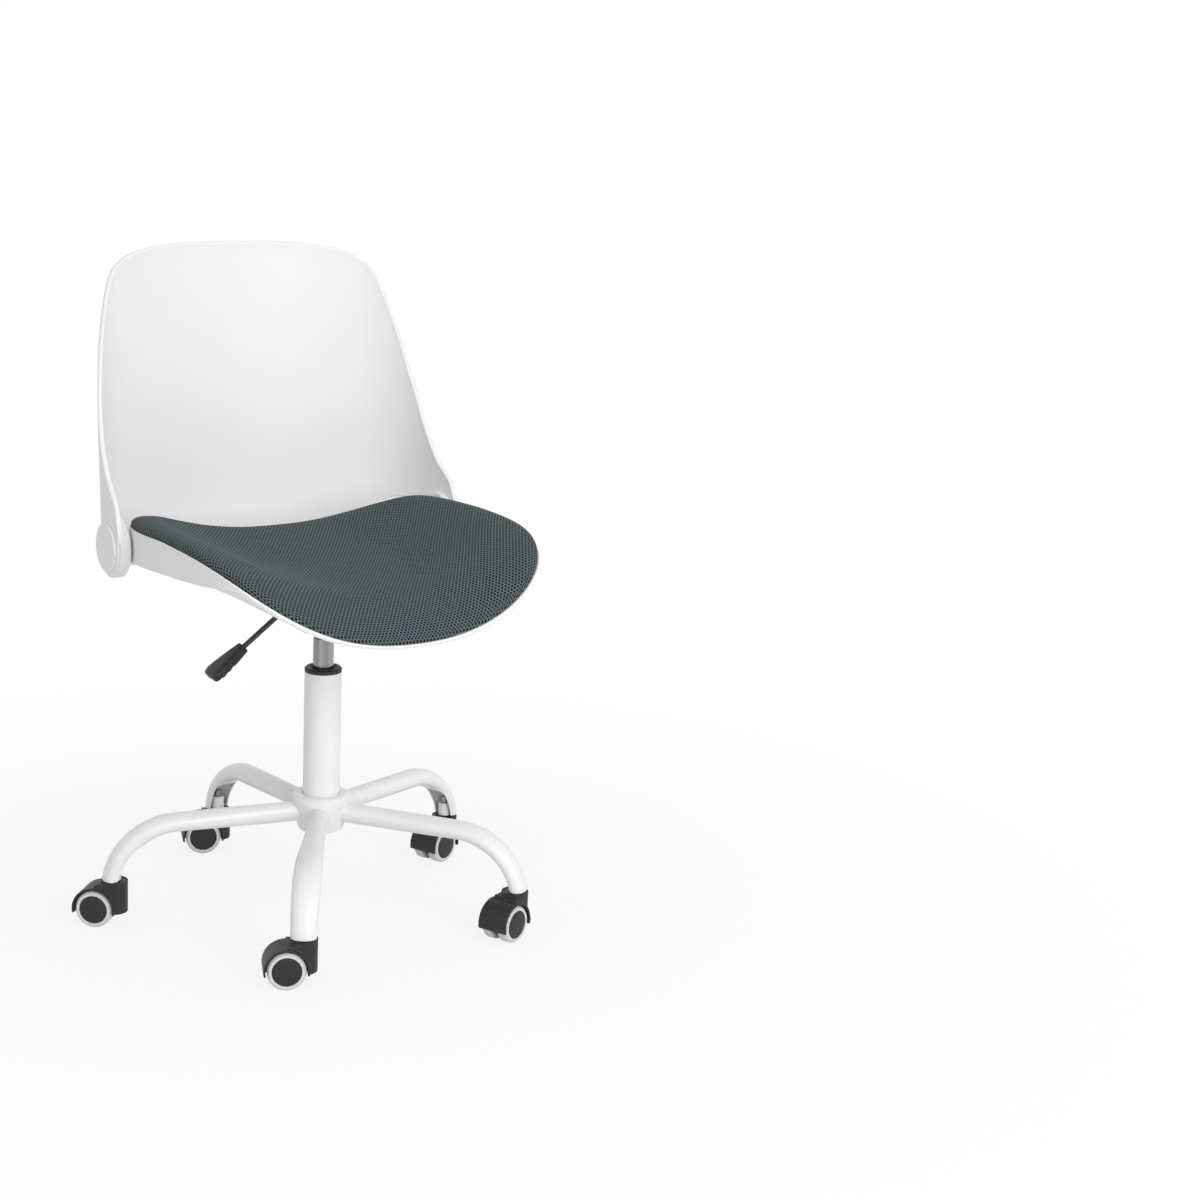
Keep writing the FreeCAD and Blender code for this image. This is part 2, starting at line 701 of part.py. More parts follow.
def cushion_height(across, along):
    """Give the height of the cushion's upper face, crowned and drawn in towards its edge."""
    share = seat_edge_share(across, along, size("cushion_inset"))
    crown = size("cushion_crown") / (1 + (share / size("cushion_turn")) ** size("cushion_shoulder"))
    return cushion_underside(across, along) + size("cushion_edge") + crown


def cushion_underside(across, along):
    """Give the height of the cushion's lower face, just above the pan."""
    return seat_height(across, along) + size("slip_gap")


def surface(height, step_count=SEAT_STEPS):
    """Make a face over the seat's area from a height formula."""
    wide = size("seat_half") + SEAT_MARGIN
    front = size("seat_centre") - size("seat_fore") - SEAT_MARGIN
    rear = size("seat_centre") + size("seat_aft") + SEAT_MARGIN
    rows = []
    for row in range(step_count):
        along = front + (rear - front) * row / (step_count - 1)
        points = []
        for column in range(step_count):
            across = -wide + 2 * wide * column / (step_count - 1)
            points.append(FreeCAD.Vector(across, along, height(across, along)))
        rows.append(points)
    sheet_face = Part.BSplineSurface()
    sheet_face.interpolate(rows)
    return sheet_face.toShape()


def between(lower, upper, step_count=SEAT_STEPS):
    """Make the solid between two faces over the seat's area."""
    faces = [surface(lower, step_count), surface(upper, step_count)]
    for low_edge, high_edge in zip(faces[0].Edges, faces[1].Edges):
        faces.append(Part.makeRuledSurface(low_edge, high_edge))
    return Part.makeSolid(Part.makeShell(faces))


def seat_outline(inset):
    """Make the seat's outline in plan as an upright prism."""
    square = size("seat_square")
    points = []
    wide = size("seat_half") - inset
    for step in range(OUTLINE_STEPS):
        angle = 2 * math.pi * (step + 0.5) / OUTLINE_STEPS
        across = math.copysign(abs(math.cos(angle)) ** (2 / square), math.cos(angle))
        along = math.copysign(abs(math.sin(angle)) ** (2 / square), math.sin(angle))
        deep = (size("seat_aft") if along > 0 else size("seat_fore")) - inset
        points.append(FreeCAD.Vector(wide * across, size("seat_centre") + deep * along, 0))
    curve = Part.BSplineCurve()
    curve.interpolate(points, True)
    face = Part.Face(Part.Wire([curve.toShape()]))
    base = size("seat_floor") - size("seat_rise")
    face.translate(FreeCAD.Vector(0, 0, base))
    return face.extrude(FreeCAD.Vector(0, 0, 4 * size("seat_rise")))


def seat_skirt():
    """Make the side walls that hang from the pan's rim, deepest at the hinge and gone at the front."""
    wall = size("seat_wall")
    ring = seat_outline(size("skirt_inset")).cut(seat_outline(wall + size("skirt_inset")))
    roof = surface(seat_height).extrude(FreeCAD.Vector(0, 0, 4 * size("seat_rise")))
    roof.translate(FreeCAD.Vector(0, 0, -wall / 2))
    far_side = -2 * size("seat_half")
    front = -2 * size("seat_fore")
    rear = 2 * size("seat_aft")
    foot = size("hinge_high") - size("skirt_drop")
    slope = size("skirt_slope")
    corners = [
        FreeCAD.Vector(far_side, front, 0),
        FreeCAD.Vector(far_side, rear, 0),
        FreeCAD.Vector(far_side, rear, foot - slope * (rear - size("hinge_aft"))),
        FreeCAD.Vector(far_side, front, foot - slope * (front - size("hinge_aft"))),
    ]
    below = Part.Face(Part.makePolygon(corners + corners[:1])).extrude(FreeCAD.Vector(-2 * far_side, 0, 0))
    return ring.cut(roof).cut(below)


def make_seat():
    """Make the seat pan with its side walls, hinge lugs and screw pads, and the cushion in it."""
    pan = between(seat_underside, seat_height).common(seat_outline(0.0))
    hinge_y = size("hinge_aft")
    hinge_z = size("hinge_high")
    above = surface(seat_height).extrude(FreeCAD.Vector(0, 0, 2 * size("seat_rise")))
    extras = []
    cuts = []
    for side in (-1, 1):
        start = FreeCAD.Vector(side * size("lug_inner"), hinge_y, hinge_z)
        out = FreeCAD.Vector(side, 0, 0)
        length = size("lug_outer") - size("lug_inner")
        lug = Part.makeCylinder(size("lug_dia") / 2, length, start, out)
        extras.append(lug.cut(above))
        cuts.append(Part.makeCylinder(size("hinge_pin_dia") / 2, length, start, out))
        for along in (-1, 1):
            spot = FreeCAD.Vector(side * size("screw_across") / 2, along * size("screw_along") / 2,
                                  size("plate_high"))
            pad = Part.makeCylinder(size("pad_dia") / 2, 2 * size("screw_grip"), spot)
            extras.append(pad.cut(above))
            cuts.append(Part.makeCylinder(size("screw_dia") / 2, size("screw_grip"), spot))
    shell = pan.fuse(seat_skirt()).fuse(extras).removeSplitter()
    for cut in cuts:
        shell = shell.cut(cut)
    formed(shell, "seat_shell")

    cushion = between(cushion_underside, cushion_height, CUSHION_STEPS)
    cushion = cushion.common(seat_outline(size("cushion_inset")))
    gap = size("slip_gap")
    for side in (-1, 1):
        start = FreeCAD.Vector(side * (size("lug_inner") - gap), hinge_y, hinge_z)
        length = size("lug_outer") - size("lug_inner")
        lug = Part.makeCylinder(size("lug_dia") / 2 + gap, length, start, FreeCAD.Vector(side, 0, 0))
        cushion = cushion.cut(lug.cut(above))
    formed(cushion, "seat_cushion")


def make_hinge():
    """Make the hinge pins, the bushes round them and the flat caps over them, one on each side."""
    pins = []
    bushes = []
    caps = []
    radius = size("hinge_pin_dia") / 2
    inner = size("boss_inner")
    outer = size("boss_outer")
    for side in (-1, 1):
        out = FreeCAD.Vector(side, 0, 0)

        def round_piece(first, last, girth):
            spot = FreeCAD.Vector(side * first, size("hinge_aft"), size("hinge_high"))
            return Part.makeCylinder(girth, last - first, spot, out)

        pins.append(round_piece(size("lug_inner"), outer - size("slip_gap"), radius))
        sleeve = round_piece(inner, outer, radius + size("hinge_bush_wall"))
        bushes.append(sleeve.cut(round_piece(inner, outer, radius + size("run_gap"))))
        caps.append(round_piece(outer, outer + size("cap_thick"), size("cap_dia") / 2))
    formed(Part.makeCompound(pins), "hinge_pins")
    formed(Part.makeCompound(bushes), "hinge_bushes")
    formed(Part.makeCompound(caps), "hinge_caps")


def back_profile(radius_change):
    """Give one half of the back's plan section as (across, drop) arcs and an arm, offset inwards."""
    arc = size("back_arc") - radius_change
    corner = size("back_corner") - radius_change
    first = math.radians(size("back_arc_turn"))
    last = math.radians(size("back_corner_turn"))
    centre = (size("back_arc") - size("back_corner"))
    spots = [(0.0, radius_change)]
    for angle in (first / 2, first):
        spots.append((arc * math.sin(angle), size("back_arc") - arc * math.cos(angle)))
    corner_x = centre * math.sin(first)
    corner_y = size("back_arc") - centre * math.cos(first)
    for angle in ((first + last) / 2, last):
        spots.append((corner_x + corner * math.sin(angle), corner_y - corner * math.cos(angle)))
    end_x, end_y = spots[-1]
    spots.append((end_x + size("back_arm") * math.cos(last), end_y + size("back_arm") * math.sin(last)))
    return spots


def back_band():
    """Make the back's section band, swept along its lean."""
    base = size("back_low") - 2 * size("back_wall")
    rise = size("back_high") - base + 2 * size("back_wall")
    lean = math.tan(math.radians(size("back_lean")))
    aft = size("back_aft") + lean * (base - size("back_low"))

    def spot(pair, side):
        across, drop = pair
        return FreeCAD.Vector(side * across, aft - drop, base)

    edges = []
    outer = back_profile(0.0)
    inner = back_profile(size("back_wall"))
    for line in (outer, inner):
        left = [spot(pair, -1) for pair in line]
        right = [spot(pair, 1) for pair in line]
        edges.append(Part.makeLine(left[5], left[4]))
        edges.append(Part.Arc(left[4], left[3], left[2]).toShape())
        edges.append(Part.Arc(left[2], left[0], right[2]).toShape())
        edges.append(Part.Arc(right[2], right[3], right[4]).toShape())
        edges.append(Part.makeLine(right[4], right[5]))
    for side in (-1, 1):
        edges.append(Part.makeLine(spot(outer[5], side), spot(inner[5], side)))
    wire = Part.Wire(Part.__sortEdges__(edges))
    return Part.Face(wire).extrude(FreeCAD.Vector(0, lean * rise, rise))


def spline(points):
    """Make a smooth edge through points."""
    curve = Part.BSplineCurve()
    curve.interpolate(points)
    return curve.toShape()


def back_side_shape():
    """Make the back's outline seen from the side, as a prism across the chair."""
    hinge_y = size("hinge_aft")
    hinge_z = size("hinge_high")
    boss = size("boss_dia") / 2
    top = size("back_high")
    aft = size("back_aft")
    reach = aft - hinge_y
    rise = top - hinge_z
    far_side = -2 * size("seat_half")
    front = [(along * boss, up * boss) for along, up in BACK_NECK]
    front += [(along * reach, up * rise) for along, up in BACK_FRONT]
    under = [(boss / 2, boss / 2)]
    under += [(along * reach, up * boss) for along, up in BACK_UNDER]

    def spot(pair):
        return FreeCAD.Vector(far_side, hinge_y + pair[0], hinge_z + pair[1])

    front_spots = [spot(pair) for pair in front]
    under_spots = [spot(pair) for pair in under]
    under_spots.append(FreeCAD.Vector(far_side, aft, size("back_low")))
    far_low = FreeCAD.Vector(far_side, aft + reach, size("back_low"))
    far_high = FreeCAD.Vector(far_side, aft + reach, front_spots[-1].z)
    wire = Part.Wire([
        spline(front_spots),
        Part.makeLine(front_spots[-1], far_high),
        Part.makeLine(far_high, far_low),
        Part.makeLine(far_low, under_spots[-1]),
        spline(under_spots[::-1]),
        Part.makeLine(under_spots[0], front_spots[0]),
    ])
    return Part.Face(wire).extrude(FreeCAD.Vector(-2 * far_side, 0, 0))


def back_front_shape():
    """Make the back's outline seen from the front, as a prism along the chair."""
    top = size("back_high")
    half = size("seat_half")
    low = size("hinge_high") - 2 * size("boss_dia")
    right = [FreeCAD.Vector(share * half, 0, top - drop) for share, drop in BACK_CORNER]
    left = [FreeCAD.Vector(-share * half, 0, top - drop) for share, drop in BACK_CORNER]
    skirt_right = FreeCAD.Vector(2 * half, 0, right[-1].z - BACK_SKIRT * half)
    skirt_left = FreeCAD.Vector(-2 * half, 0, left[-1].z - BACK_SKIRT * half)
    foot_right = FreeCAD.Vector(2 * half, 0, low)
    foot_left = FreeCAD.Vector(-2 * half, 0, low)
    wire = Part.Wire([
        spline(left[::-1] + right[1:]),
        Part.makeLine(right[-1], skirt_right),
        Part.makeLine(skirt_right, foot_right),
        Part.makeLine(foot_right, foot_left),
        Part.makeLine(foot_left, skirt_left),
        Part.makeLine(skirt_left, left[-1]),
    ])
    return Part.Face(wire).extrude(FreeCAD.Vector(0, 2 * size("back_aft"), 0))


def make_back():
    """Make the wrapped back with its two hinge bosses."""
    shell = back_band().common(back_side_shape()).common(back_front_shape())
    bosses = []
    bores = []
    for side in (-1, 1):
        spot = FreeCAD.Vector(side * size("boss_inner"), size("hinge_aft"), size("hinge_high"))
        out = FreeCAD.Vector(side, 0, 0)
        length = size("boss_outer") - size("boss_inner")
        bosses.append(Part.makeCylinder(size("boss_dia") / 2, length, spot, out))
        bore = size("hinge_pin_dia") / 2 + size("hinge_bush_wall")
        bores.append(Part.makeCylinder(bore, length, spot, out))
    shell = shell.fuse(bosses)
    formed(shell.cut(Part.makeCompound(bores)), "back_shell")


def check_and_write():
    """Refuse failed objects and bad shapes, then write each sub-part to its file."""
    for obj in doc.Objects:
        if "Invalid" in obj.State or "Error" in obj.State:
            raise RuntimeError(f"{obj.Label} failed: {obj.State}")
    for obj in subparts:
        shape = obj.Shape
        if shape.isNull() or not shape.isValid() or not shape.Solids:
            raise RuntimeError(f"{obj.Label} has no valid solid")
    os.makedirs("parts", exist_ok=True)
    for obj in subparts:
        obj.Shape.exportStep(f"parts/{obj.Label}.step")
        print(obj.Label, len(obj.Shape.Solids), round(obj.Shape.Volume))


make_column()
make_gas_lift()
doc.recompute()
make_legs(doc.getObject("base_hub"))
make_sockets()
make_casters()
make_seat_plate()
make_lever()
make_seat()
make_hinge()
make_back()
doc.recompute()
check_and_write()
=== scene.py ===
"""Looks of a swivel chair whose back folds forward, in a pale studio."""

from __future__ import annotations

import json
import logging
import math
from dataclasses import dataclass
from enum import Enum
from typing import Any, Sequence

import bmesh
import bpy
import numpy as np
from mathutils import Matrix, Quaternion, Vector

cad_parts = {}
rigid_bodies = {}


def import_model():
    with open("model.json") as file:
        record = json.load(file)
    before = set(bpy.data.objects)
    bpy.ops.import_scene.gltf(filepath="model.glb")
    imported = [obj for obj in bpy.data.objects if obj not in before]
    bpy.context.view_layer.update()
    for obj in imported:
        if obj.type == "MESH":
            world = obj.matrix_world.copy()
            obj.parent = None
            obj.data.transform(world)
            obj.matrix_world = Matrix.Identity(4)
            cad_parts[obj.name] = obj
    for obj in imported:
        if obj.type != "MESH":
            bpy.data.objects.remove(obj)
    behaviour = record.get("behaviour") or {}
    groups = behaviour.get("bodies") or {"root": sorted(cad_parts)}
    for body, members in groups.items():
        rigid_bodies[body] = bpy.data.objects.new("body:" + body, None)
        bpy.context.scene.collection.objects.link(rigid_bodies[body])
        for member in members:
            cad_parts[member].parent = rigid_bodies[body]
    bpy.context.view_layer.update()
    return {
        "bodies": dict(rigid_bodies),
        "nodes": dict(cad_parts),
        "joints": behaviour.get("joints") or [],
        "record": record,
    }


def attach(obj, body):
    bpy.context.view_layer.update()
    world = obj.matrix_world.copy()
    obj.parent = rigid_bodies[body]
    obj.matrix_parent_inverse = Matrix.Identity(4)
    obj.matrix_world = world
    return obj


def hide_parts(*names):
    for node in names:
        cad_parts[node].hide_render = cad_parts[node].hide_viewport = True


MM = 0.001
LOG = logging.getLogger("chair")
Colour = tuple[float, float, float]
Pair = tuple[float, float]
HINGE_AFT = 128.0
HINGE_HIGH = 499.0
SEAT_HALF = 238.0
STEM_CIRCLE = 280.0
AXIS_Z = Matrix.Identity(4)
CASTER_TRAILS = (161.0, 138.0, 158.0, 204.0, 204.0)


class Slot(Enum):
    """The finishes that the part's record names."""

    SHELL = "white_plastic"
    PAINT = "white_paint"
    NYLON = "black_plastic"
    ACETAL = "grey_plastic"
    BLACK = "black_paint"
    STEEL = "steel"
    TREAD = "pale_tread"
    WEAVE = "mesh_fabric"


class Side(Enum):
    """The sitter's two sides along X."""

    RIGHT = -1
    LEFT = 1


class Sock:
    """A shader value that joins in sums: each operator adds one Math node."""

    def __init__(self, surface: "Surface", socket: bpy.types.NodeSocket) -> None:
        """Hold the socket and the surface whose tree it is in."""
        self.surface = surface
        self.socket = socket

    def _sum(self, operation: str, first: Any, second: Any) -> "Sock":
        """Add a Math node for one operation."""
        node = self.surface.node("ShaderNodeMath", {"operation": operation}, {0: first, 1: second})
        return Sock(self.surface, node.outputs[0])

    def __add__(self, other: Any) -> "Sock":
        """Add."""
        return self._sum("ADD", self, other)

    def __radd__(self, other: Any) -> "Sock":
        """Add to a number."""
        return self._sum("ADD", other, self)

    def __mul__(self, other: Any) -> "Sock":
        """Multiply."""
        return self._sum("MULTIPLY", self, other)

    def __rmul__(self, other: Any) -> "Sock":
        """Multiply a number."""
        return self._sum("MULTIPLY", other, self)

    def least(self, other: Any) -> "Sock":
        """Give the smaller of two values."""
        return self._sum("MINIMUM", self, other)

    def above(self, low: float, high: float) -> "Sock":
        """Rise smoothly from 0 at low to 1 at high.

        Args:
            low: The value that gives 0.
            high: The value that gives 1.

        Returns:
            The eased value.
        """
        node = self.surface.node(
            "ShaderNodeMapRange",
            {"interpolation_type": "SMOOTHSTEP"},
            {"Value": self, "From Min": low, "From Max": high},
        )
        return Sock(self.surface, node.outputs[0])


def add_node(
    tree: bpy.types.NodeTree,
    kind: str,
    settings: dict[str, Any] | None = None,
    values: dict[Any, Any] | None = None,
) -> bpy.types.Node:
    """Add a node, its settings first and then the values or links of its sockets.

    Args:
        tree: The tree it goes into.
        kind: The node's type.
        settings: Properties of the node.
        values: Numbers, colours, sockets or socks by socket name or place.

    Returns:
        The node.
    """
    made = tree.nodes.new(kind)
    for name, value in (settings or {}).items():
        setattr(made, name, value)
    for key, value in (values or {}).items():
        source = value.socket if isinstance(value, Sock) else value
        if isinstance(source, bpy.types.NodeSocket):
            tree.links.new(source, made.inputs[key])
        else:
            made.inputs[key].default_value = source
    return made


class Surface:
    """One material's node tree round a Principled shader."""

    def __init__(self, name: str, constants: dict[str, Any]) -> None:
        """Start a material.

        Args:
            name: The material's name.
            constants: What is the same all over, set on the shader's own sockets.
        """
        self.material = bpy.data.materials.new(name)
        self.material.use_nodes = True
        self.tree = self.material.node_tree
        self.tree.nodes.clear()
        self.shader = self.node("ShaderNodeBsdfPrincipled", {}, constants)
        self.node("ShaderNodeOutputMaterial", {}, {0: self.shader.outputs[0]})
        self.place = self.node("ShaderNodeTexCoord").outputs["Object"]

    def node(self, kind: str, *details: dict[Any, Any]) -> bpy.types.Node:
        """Add a node to this material, with its settings and its values or links."""
        return add_node(self.tree, kind, *details)

    def noise(self, scale: float, detail: float = 2.0, stretch: Colour = (1.0, 1.0, 1.0)) -> Sock:
        """Give soft noise over the piece.

        Args:
            scale: Waves to the metre.
            detail: Octaves.
            stretch: How much finer it is along each axis.

        Returns:
            A value from 0 to 1.
        """
        mapped = self.node("ShaderNodeMapping", {}, {"Vector": self.place, "Scale": stretch})
        values = {"Vector": mapped.outputs[0], "Scale": scale, "Detail": detail}
        return Sock(self, self.node("ShaderNodeTexNoise", {}, values).outputs[0])

    def mix(self, share: Sock, first: Any, second: Any) -> Sock:
        """Mix two colours."""
        node = self.node("ShaderNodeMix", {"data_type": "RGBA"}, {0: share, 6: first, 7: second})
        return Sock(self, node.outputs[2])

    def vector(self, operation: str, first: Sock, second: Colour = (0.0, 0.0, 0.0), out: Any = 0) -> Sock:
        """Add a Vector Math node and give one of its outputs."""
        node = self.node("ShaderNodeVectorMath", {"operation": operation}, {0: first, 1: second})
        return Sock(self, node.outputs[out])

    def feed(self, name: str, value: Sock) -> None:
        """Link a value to one of the shader's sockets."""
        self.tree.links.new(value.socket, self.shader.inputs[name])

    def relief(self, height: Sock, depth: float, strength: float = 1.0) -> None:
        """Raise the surface by a height of 0 to 1.

        Args:
            height: The height.
            depth: Metres that a height of 1 stands for.
            strength: How much of it shows.
        """
        values = {"Height": height, "Distance": depth, "Strength": strength}
        self.feed("Normal", Sock(self, self.node("ShaderNodeBump", {}, values).outputs[0]))


def shade(colour: Colour, by: float) -> tuple[float, float, float, float]:
    """Give a colour made lighter or darker, with full alpha."""
    return (colour[0] * by, colour[1] * by, colour[2] * by, 1.0)


@dataclass(frozen=True)
class Finish:
    """A finish: its slot in the record, its colour and how rough it is."""

    slot: Slot
    colour: Colour
    roughness: float

    def material(self) -> bpy.types.Material:
        """Build the material."""
        raise NotImplementedError


@dataclass(frozen=True)
class Moulding(Finish):
    """Moulded plastic with a fine spark-eroded grain."""

    grain: float = 1500.0
    depth: float = 0.00004
    mottle: float = 0.02

    def material(self) -> bpy.types.Material:
        """Build the plastic: faint mottle, uneven sheen and a fine grain.

        Returns:
            The material.
        """
        made = Surface(self.slot.value, {"Specular IOR Level": 0.42, "IOR": 1.49})
        dark, light = shade(self.colour, 1 - self.mottle), shade(self.colour, 1 + self.mottle)
        made.feed("Base Color", made.mix(made.noise(9.0, 3.0), dark, light))
        made.feed("Roughness", self.roughness - 0.05 + 0.1 * made.noise(38.0, 4.0))
        made.relief(made.noise(self.grain, 3.0), self.depth, 0.6)
        return made.material


@dataclass(frozen=True)
class Coating(Finish):
    """Powder coat with a shallow orange peel."""

    peel: float = 420.0
    depth: float = 0.00007

    def material(self) -> bpy.types.Material:
        """Build the coat: orange peel, dust in the colour and a clear gloss.

        Returns:
            The material.
        """
        constants = {"Specular IOR Level": 0.5, "Coat Weight": 0.12, "Coat Roughness": 0.2}
        made = Surface(self.slot.value, constants)
        cloud = made.noise(14.0, 3.0)
        made.feed("Base Color", made.mix(cloud, shade(self.colour, 0.975), shade(self.colour, 1.02)))
        made.feed("Roughness", self.roughness - 0.06 + 0.12 * made.noise(60.0, 3.0))
        made.relief(made.noise(self.peel, 2.0), self.depth, 0.55)
        return made.material


@dataclass(frozen=True)
class Steel(Finish):
    """Drawn steel with painted reflection bands along the column and fine rings round it."""

    def material(self) -> bpy.types.Material:
        """Build the metal: streaks in its colour, rings in its roughness.

        Returns:
            The material.
        """
        made = Surface(self.slot.value, {"Metallic": 1.0})
        rings = made.noise(260.0, 3.0, (0.06, 0.06, 6.0))
        # painted reflection: light and dark bands along the column, put into the base colour
        reflection_bands = made.noise(95.0, 3.0, (1.0, 1.0, 0.02)).above(0.3, 0.7)
        made.feed("Base Color", made.mix(reflection_bands, shade(self.colour, 0.6), shade(self.colour, 1.25)))
        made.feed("Roughness", self.roughness - 0.07 + 0.14 * rings)
        made.relief(rings, 0.00002, 0.4)
        return made.material


@dataclass(frozen=True)
class Tread(Finish):
    """Soft pale tread, a little scuffed."""

    def material(self) -> bpy.types.Material:
        """Build the tread: scuffs that darken and roughen it.

        Returns:
            The material.
        """
        made = Surface(self.slot.value, {"Specular IOR Level": 0.35})
        scuff = made.noise(120.0, 5.0).above(0.56, 0.78)
        made.feed("Base Color", made.mix(0.5 * scuff, shade(self.colour, 1.0), shade(self.colour, 0.8)))
        made.feed("Roughness", self.roughness + 0.15 * scuff)
        made.relief(made.noise(900.0, 3.0), 0.00006, 0.5)
        return made.material


@dataclass(frozen=True)
class Weave(Finish):
    """Air mesh: staggered holes in a knitted face, laid out on the cushion's own flat pattern."""

    pitch: float = 0.0052
    squeeze: float = 0.68
    # painted shade: the near-black colour of the holes stands for the shade inside them
    hole: Colour = (0.003, 0.004, 0.005)

    def lattice(self, made: Surface, flat: Sock, shift: float) -> Sock:
        """Give the distance to the nearest hole of one of the two lattices.

        Args:
            made: The surface.
            flat: The flat pattern, in pitches.
            shift: Where the lattice starts, in pitches.

        Returns:
            The distance in pitches.
        """
        moved = made.vector("ADD", flat, (shift, shift, 0.0))
        away = made.vector("SUBTRACT", made.vector("FRACTION", moved), (0.5, 0.5, 0.0))
        true = made.vector("MULTIPLY", away, (1.0, 1 / self.squeeze, 0.0))
        return made.vector("LENGTH", true, out="Value")

    def material(self) -> bpy.types.Material:
        """Build the cloth: holes painted near-black as painted shade, raised yarn between them, crests
        painted lighter as painted highlight over a random yarn tone, and a soft sheen.

        Returns:
            The material.
        """
        constants = {"Specular IOR Level": 0.15, "Sheen Weight": 0.04, "Sheen Roughness": 0.4}
        made = Surface(self.slot.value, constants)
        pattern = made.node("ShaderNodeUVMap", {"uv_map": "pattern"})
        scale = (1 / self.pitch, self.squeeze / self.pitch, 0.0)
        flat = made.node("ShaderNodeMapping", {}, {"Vector": pattern.outputs[0], "Scale": scale})
        laid = Sock(made, flat.outputs[0])
        near = self.lattice(made, laid, 0.0).least(self.lattice(made, laid, 0.5))
        yarn = near.above(0.22, 0.37)
        # fine noise: raises the yarn, varies its roughness and, in the colour, lightens the raised crests as
        # painted highlight
        fuzz_and_crest_highlight = made.noise(2600.0, 3.0)
        cloud = made.noise(16.0, 3.0)
        # yarn colour: a random tone, lighter where the yarn is raised, which is painted highlight
        thread_tone_and_highlight = made.mix(fuzz_and_crest_highlight, shade(self.colour, 0.72), shade(self.colour, 1.3))
        faded = made.mix(0.35 * cloud, thread_tone_and_highlight, shade(self.colour, 1.15))
        # painted shade in the holes; yarn tone with painted highlight on the yarn between them
        made.feed("Base Color", made.mix(yarn, (*self.hole, 1.0), faded))
        made.feed("Roughness", self.roughness + 0.12 * fuzz_and_crest_highlight)
        made.relief(yarn * (0.8 + 0.2 * fuzz_and_crest_highlight), 0.0009, 0.8)
        return made.material


class Palette:
    """The chair's finishes and the materials made of them."""

    FINISHES: tuple[Finish, ...] = (
        Moulding(Slot.SHELL, (0.83, 0.83, 0.835), 0.42),
        Coating(Slot.PAINT, (0.82, 0.82, 0.825), 0.36),
        Moulding(Slot.NYLON, (0.013, 0.013, 0.014), 0.48, 1100.0, 0.00005, 0.12),
        Moulding(Slot.ACETAL, (0.45, 0.45, 0.46), 0.4),
        Coating(Slot.BLACK, (0.018, 0.018, 0.019), 0.34),
        Steel(Slot.STEEL, (0.30, 0.30, 0.305), 0.22),
        Tread(Slot.TREAD, (0.66, 0.66, 0.65), 0.48),
        Weave(Slot.WEAVE, (0.099, 0.127, 0.137), 0.78),
    )

    def __init__(self) -> None:
        """Make every material once."""
        self.materials = {finish.slot: finish.material() for finish in self.FINISHES}

    def dress(self, piece: bpy.types.Object, slot: Slot) -> None:
        """Give a piece one finish.

        Args:
            piece: The piece.
            slot: The finish's slot.
        """
        piece.data.materials.clear()
        piece.data.materials.append(self.materials[slot])


def eased(places: Sequence[float], stops: Sequence[float], numbers: Sequence[float]) -> np.ndarray:
    """Read a smooth curve through stops.

    Args:
        places: Where to read it.
        stops: Rising places of the stops.
        numbers: The curve's value at each stop.

    Returns:
        The values.
    """
    known = np.asarray(stops, float)
    values = np.asarray(numbers, float)
    slopes = np.gradient(values, known)
    at = np.clip(np.asarray(places, float), known[0], known[-1])
    left = np.clip(np.searchsorted(known, at, side="right") - 1, 0, len(known) - 2)
    span = known[left + 1] - known[left]
    share = (at - known[left]) / span
    cube, square = share**3, share**2
    return (
        (2 * cube - 3 * square + 1) * values[left]
        + (cube - 2 * square + share) * span * slopes[left]
        + (3 * square - 2 * cube) * values[left + 1]
        + (cube - square) * span * slopes[left + 1]
    )


def eased_at(place: float, stops: Sequence[float], numbers: Sequence[float]) -> float:
    """Read a smooth curve through stops at one place."""
    return float(eased([place], stops, numbers)[0])


def laid(across: np.ndarray, along: np.ndarray, heights: np.ndarray) -> np.ndarray:
    """Join a grid's X, Y and heights into points."""
    return np.stack((across, along, heights), 2)


def softened(outline: Sequence[Pair], radius: float, steps: int = 4) -> list[Pair]:
    """Round the corners of an outline, and hold the straight runs beside them.

    Args:
        outline: Corners in order round a closed outline.
        radius: The corners' radius.
        steps: Facets to a corner.

    Returns:
        The rounded outline.
    """
    rounded: list[Pair] = []
    corners = [Vector(corner) for corner in outline]
    for index, corner in enumerate(corners):
        back = corners[index - 1] - corner
        on = corners[(index + 1) % len(corners)] - corner
        half = back.angle(on) / 2
        reach = min(radius / max(math.tan(half), 0.05), 0.35 * back.length, 0.35 * on.length)
        first = corner + back.normalized() * reach
        last = corner + on.normalized() * reach
        rounded.append(tuple(corner + back.normalized() * min(1.25 * reach, 0.48 * back.length)))
        for step in range(steps + 1):
            share = step / steps
            bent = first * (1 - share) ** 2 + corner * 2 * share * (1 - share) + last * share**2
            rounded.append(tuple(bent))
        rounded.append(tuple(corner + on.normalized() * min(1.25 * reach, 0.48 * on.length)))
    return rounded


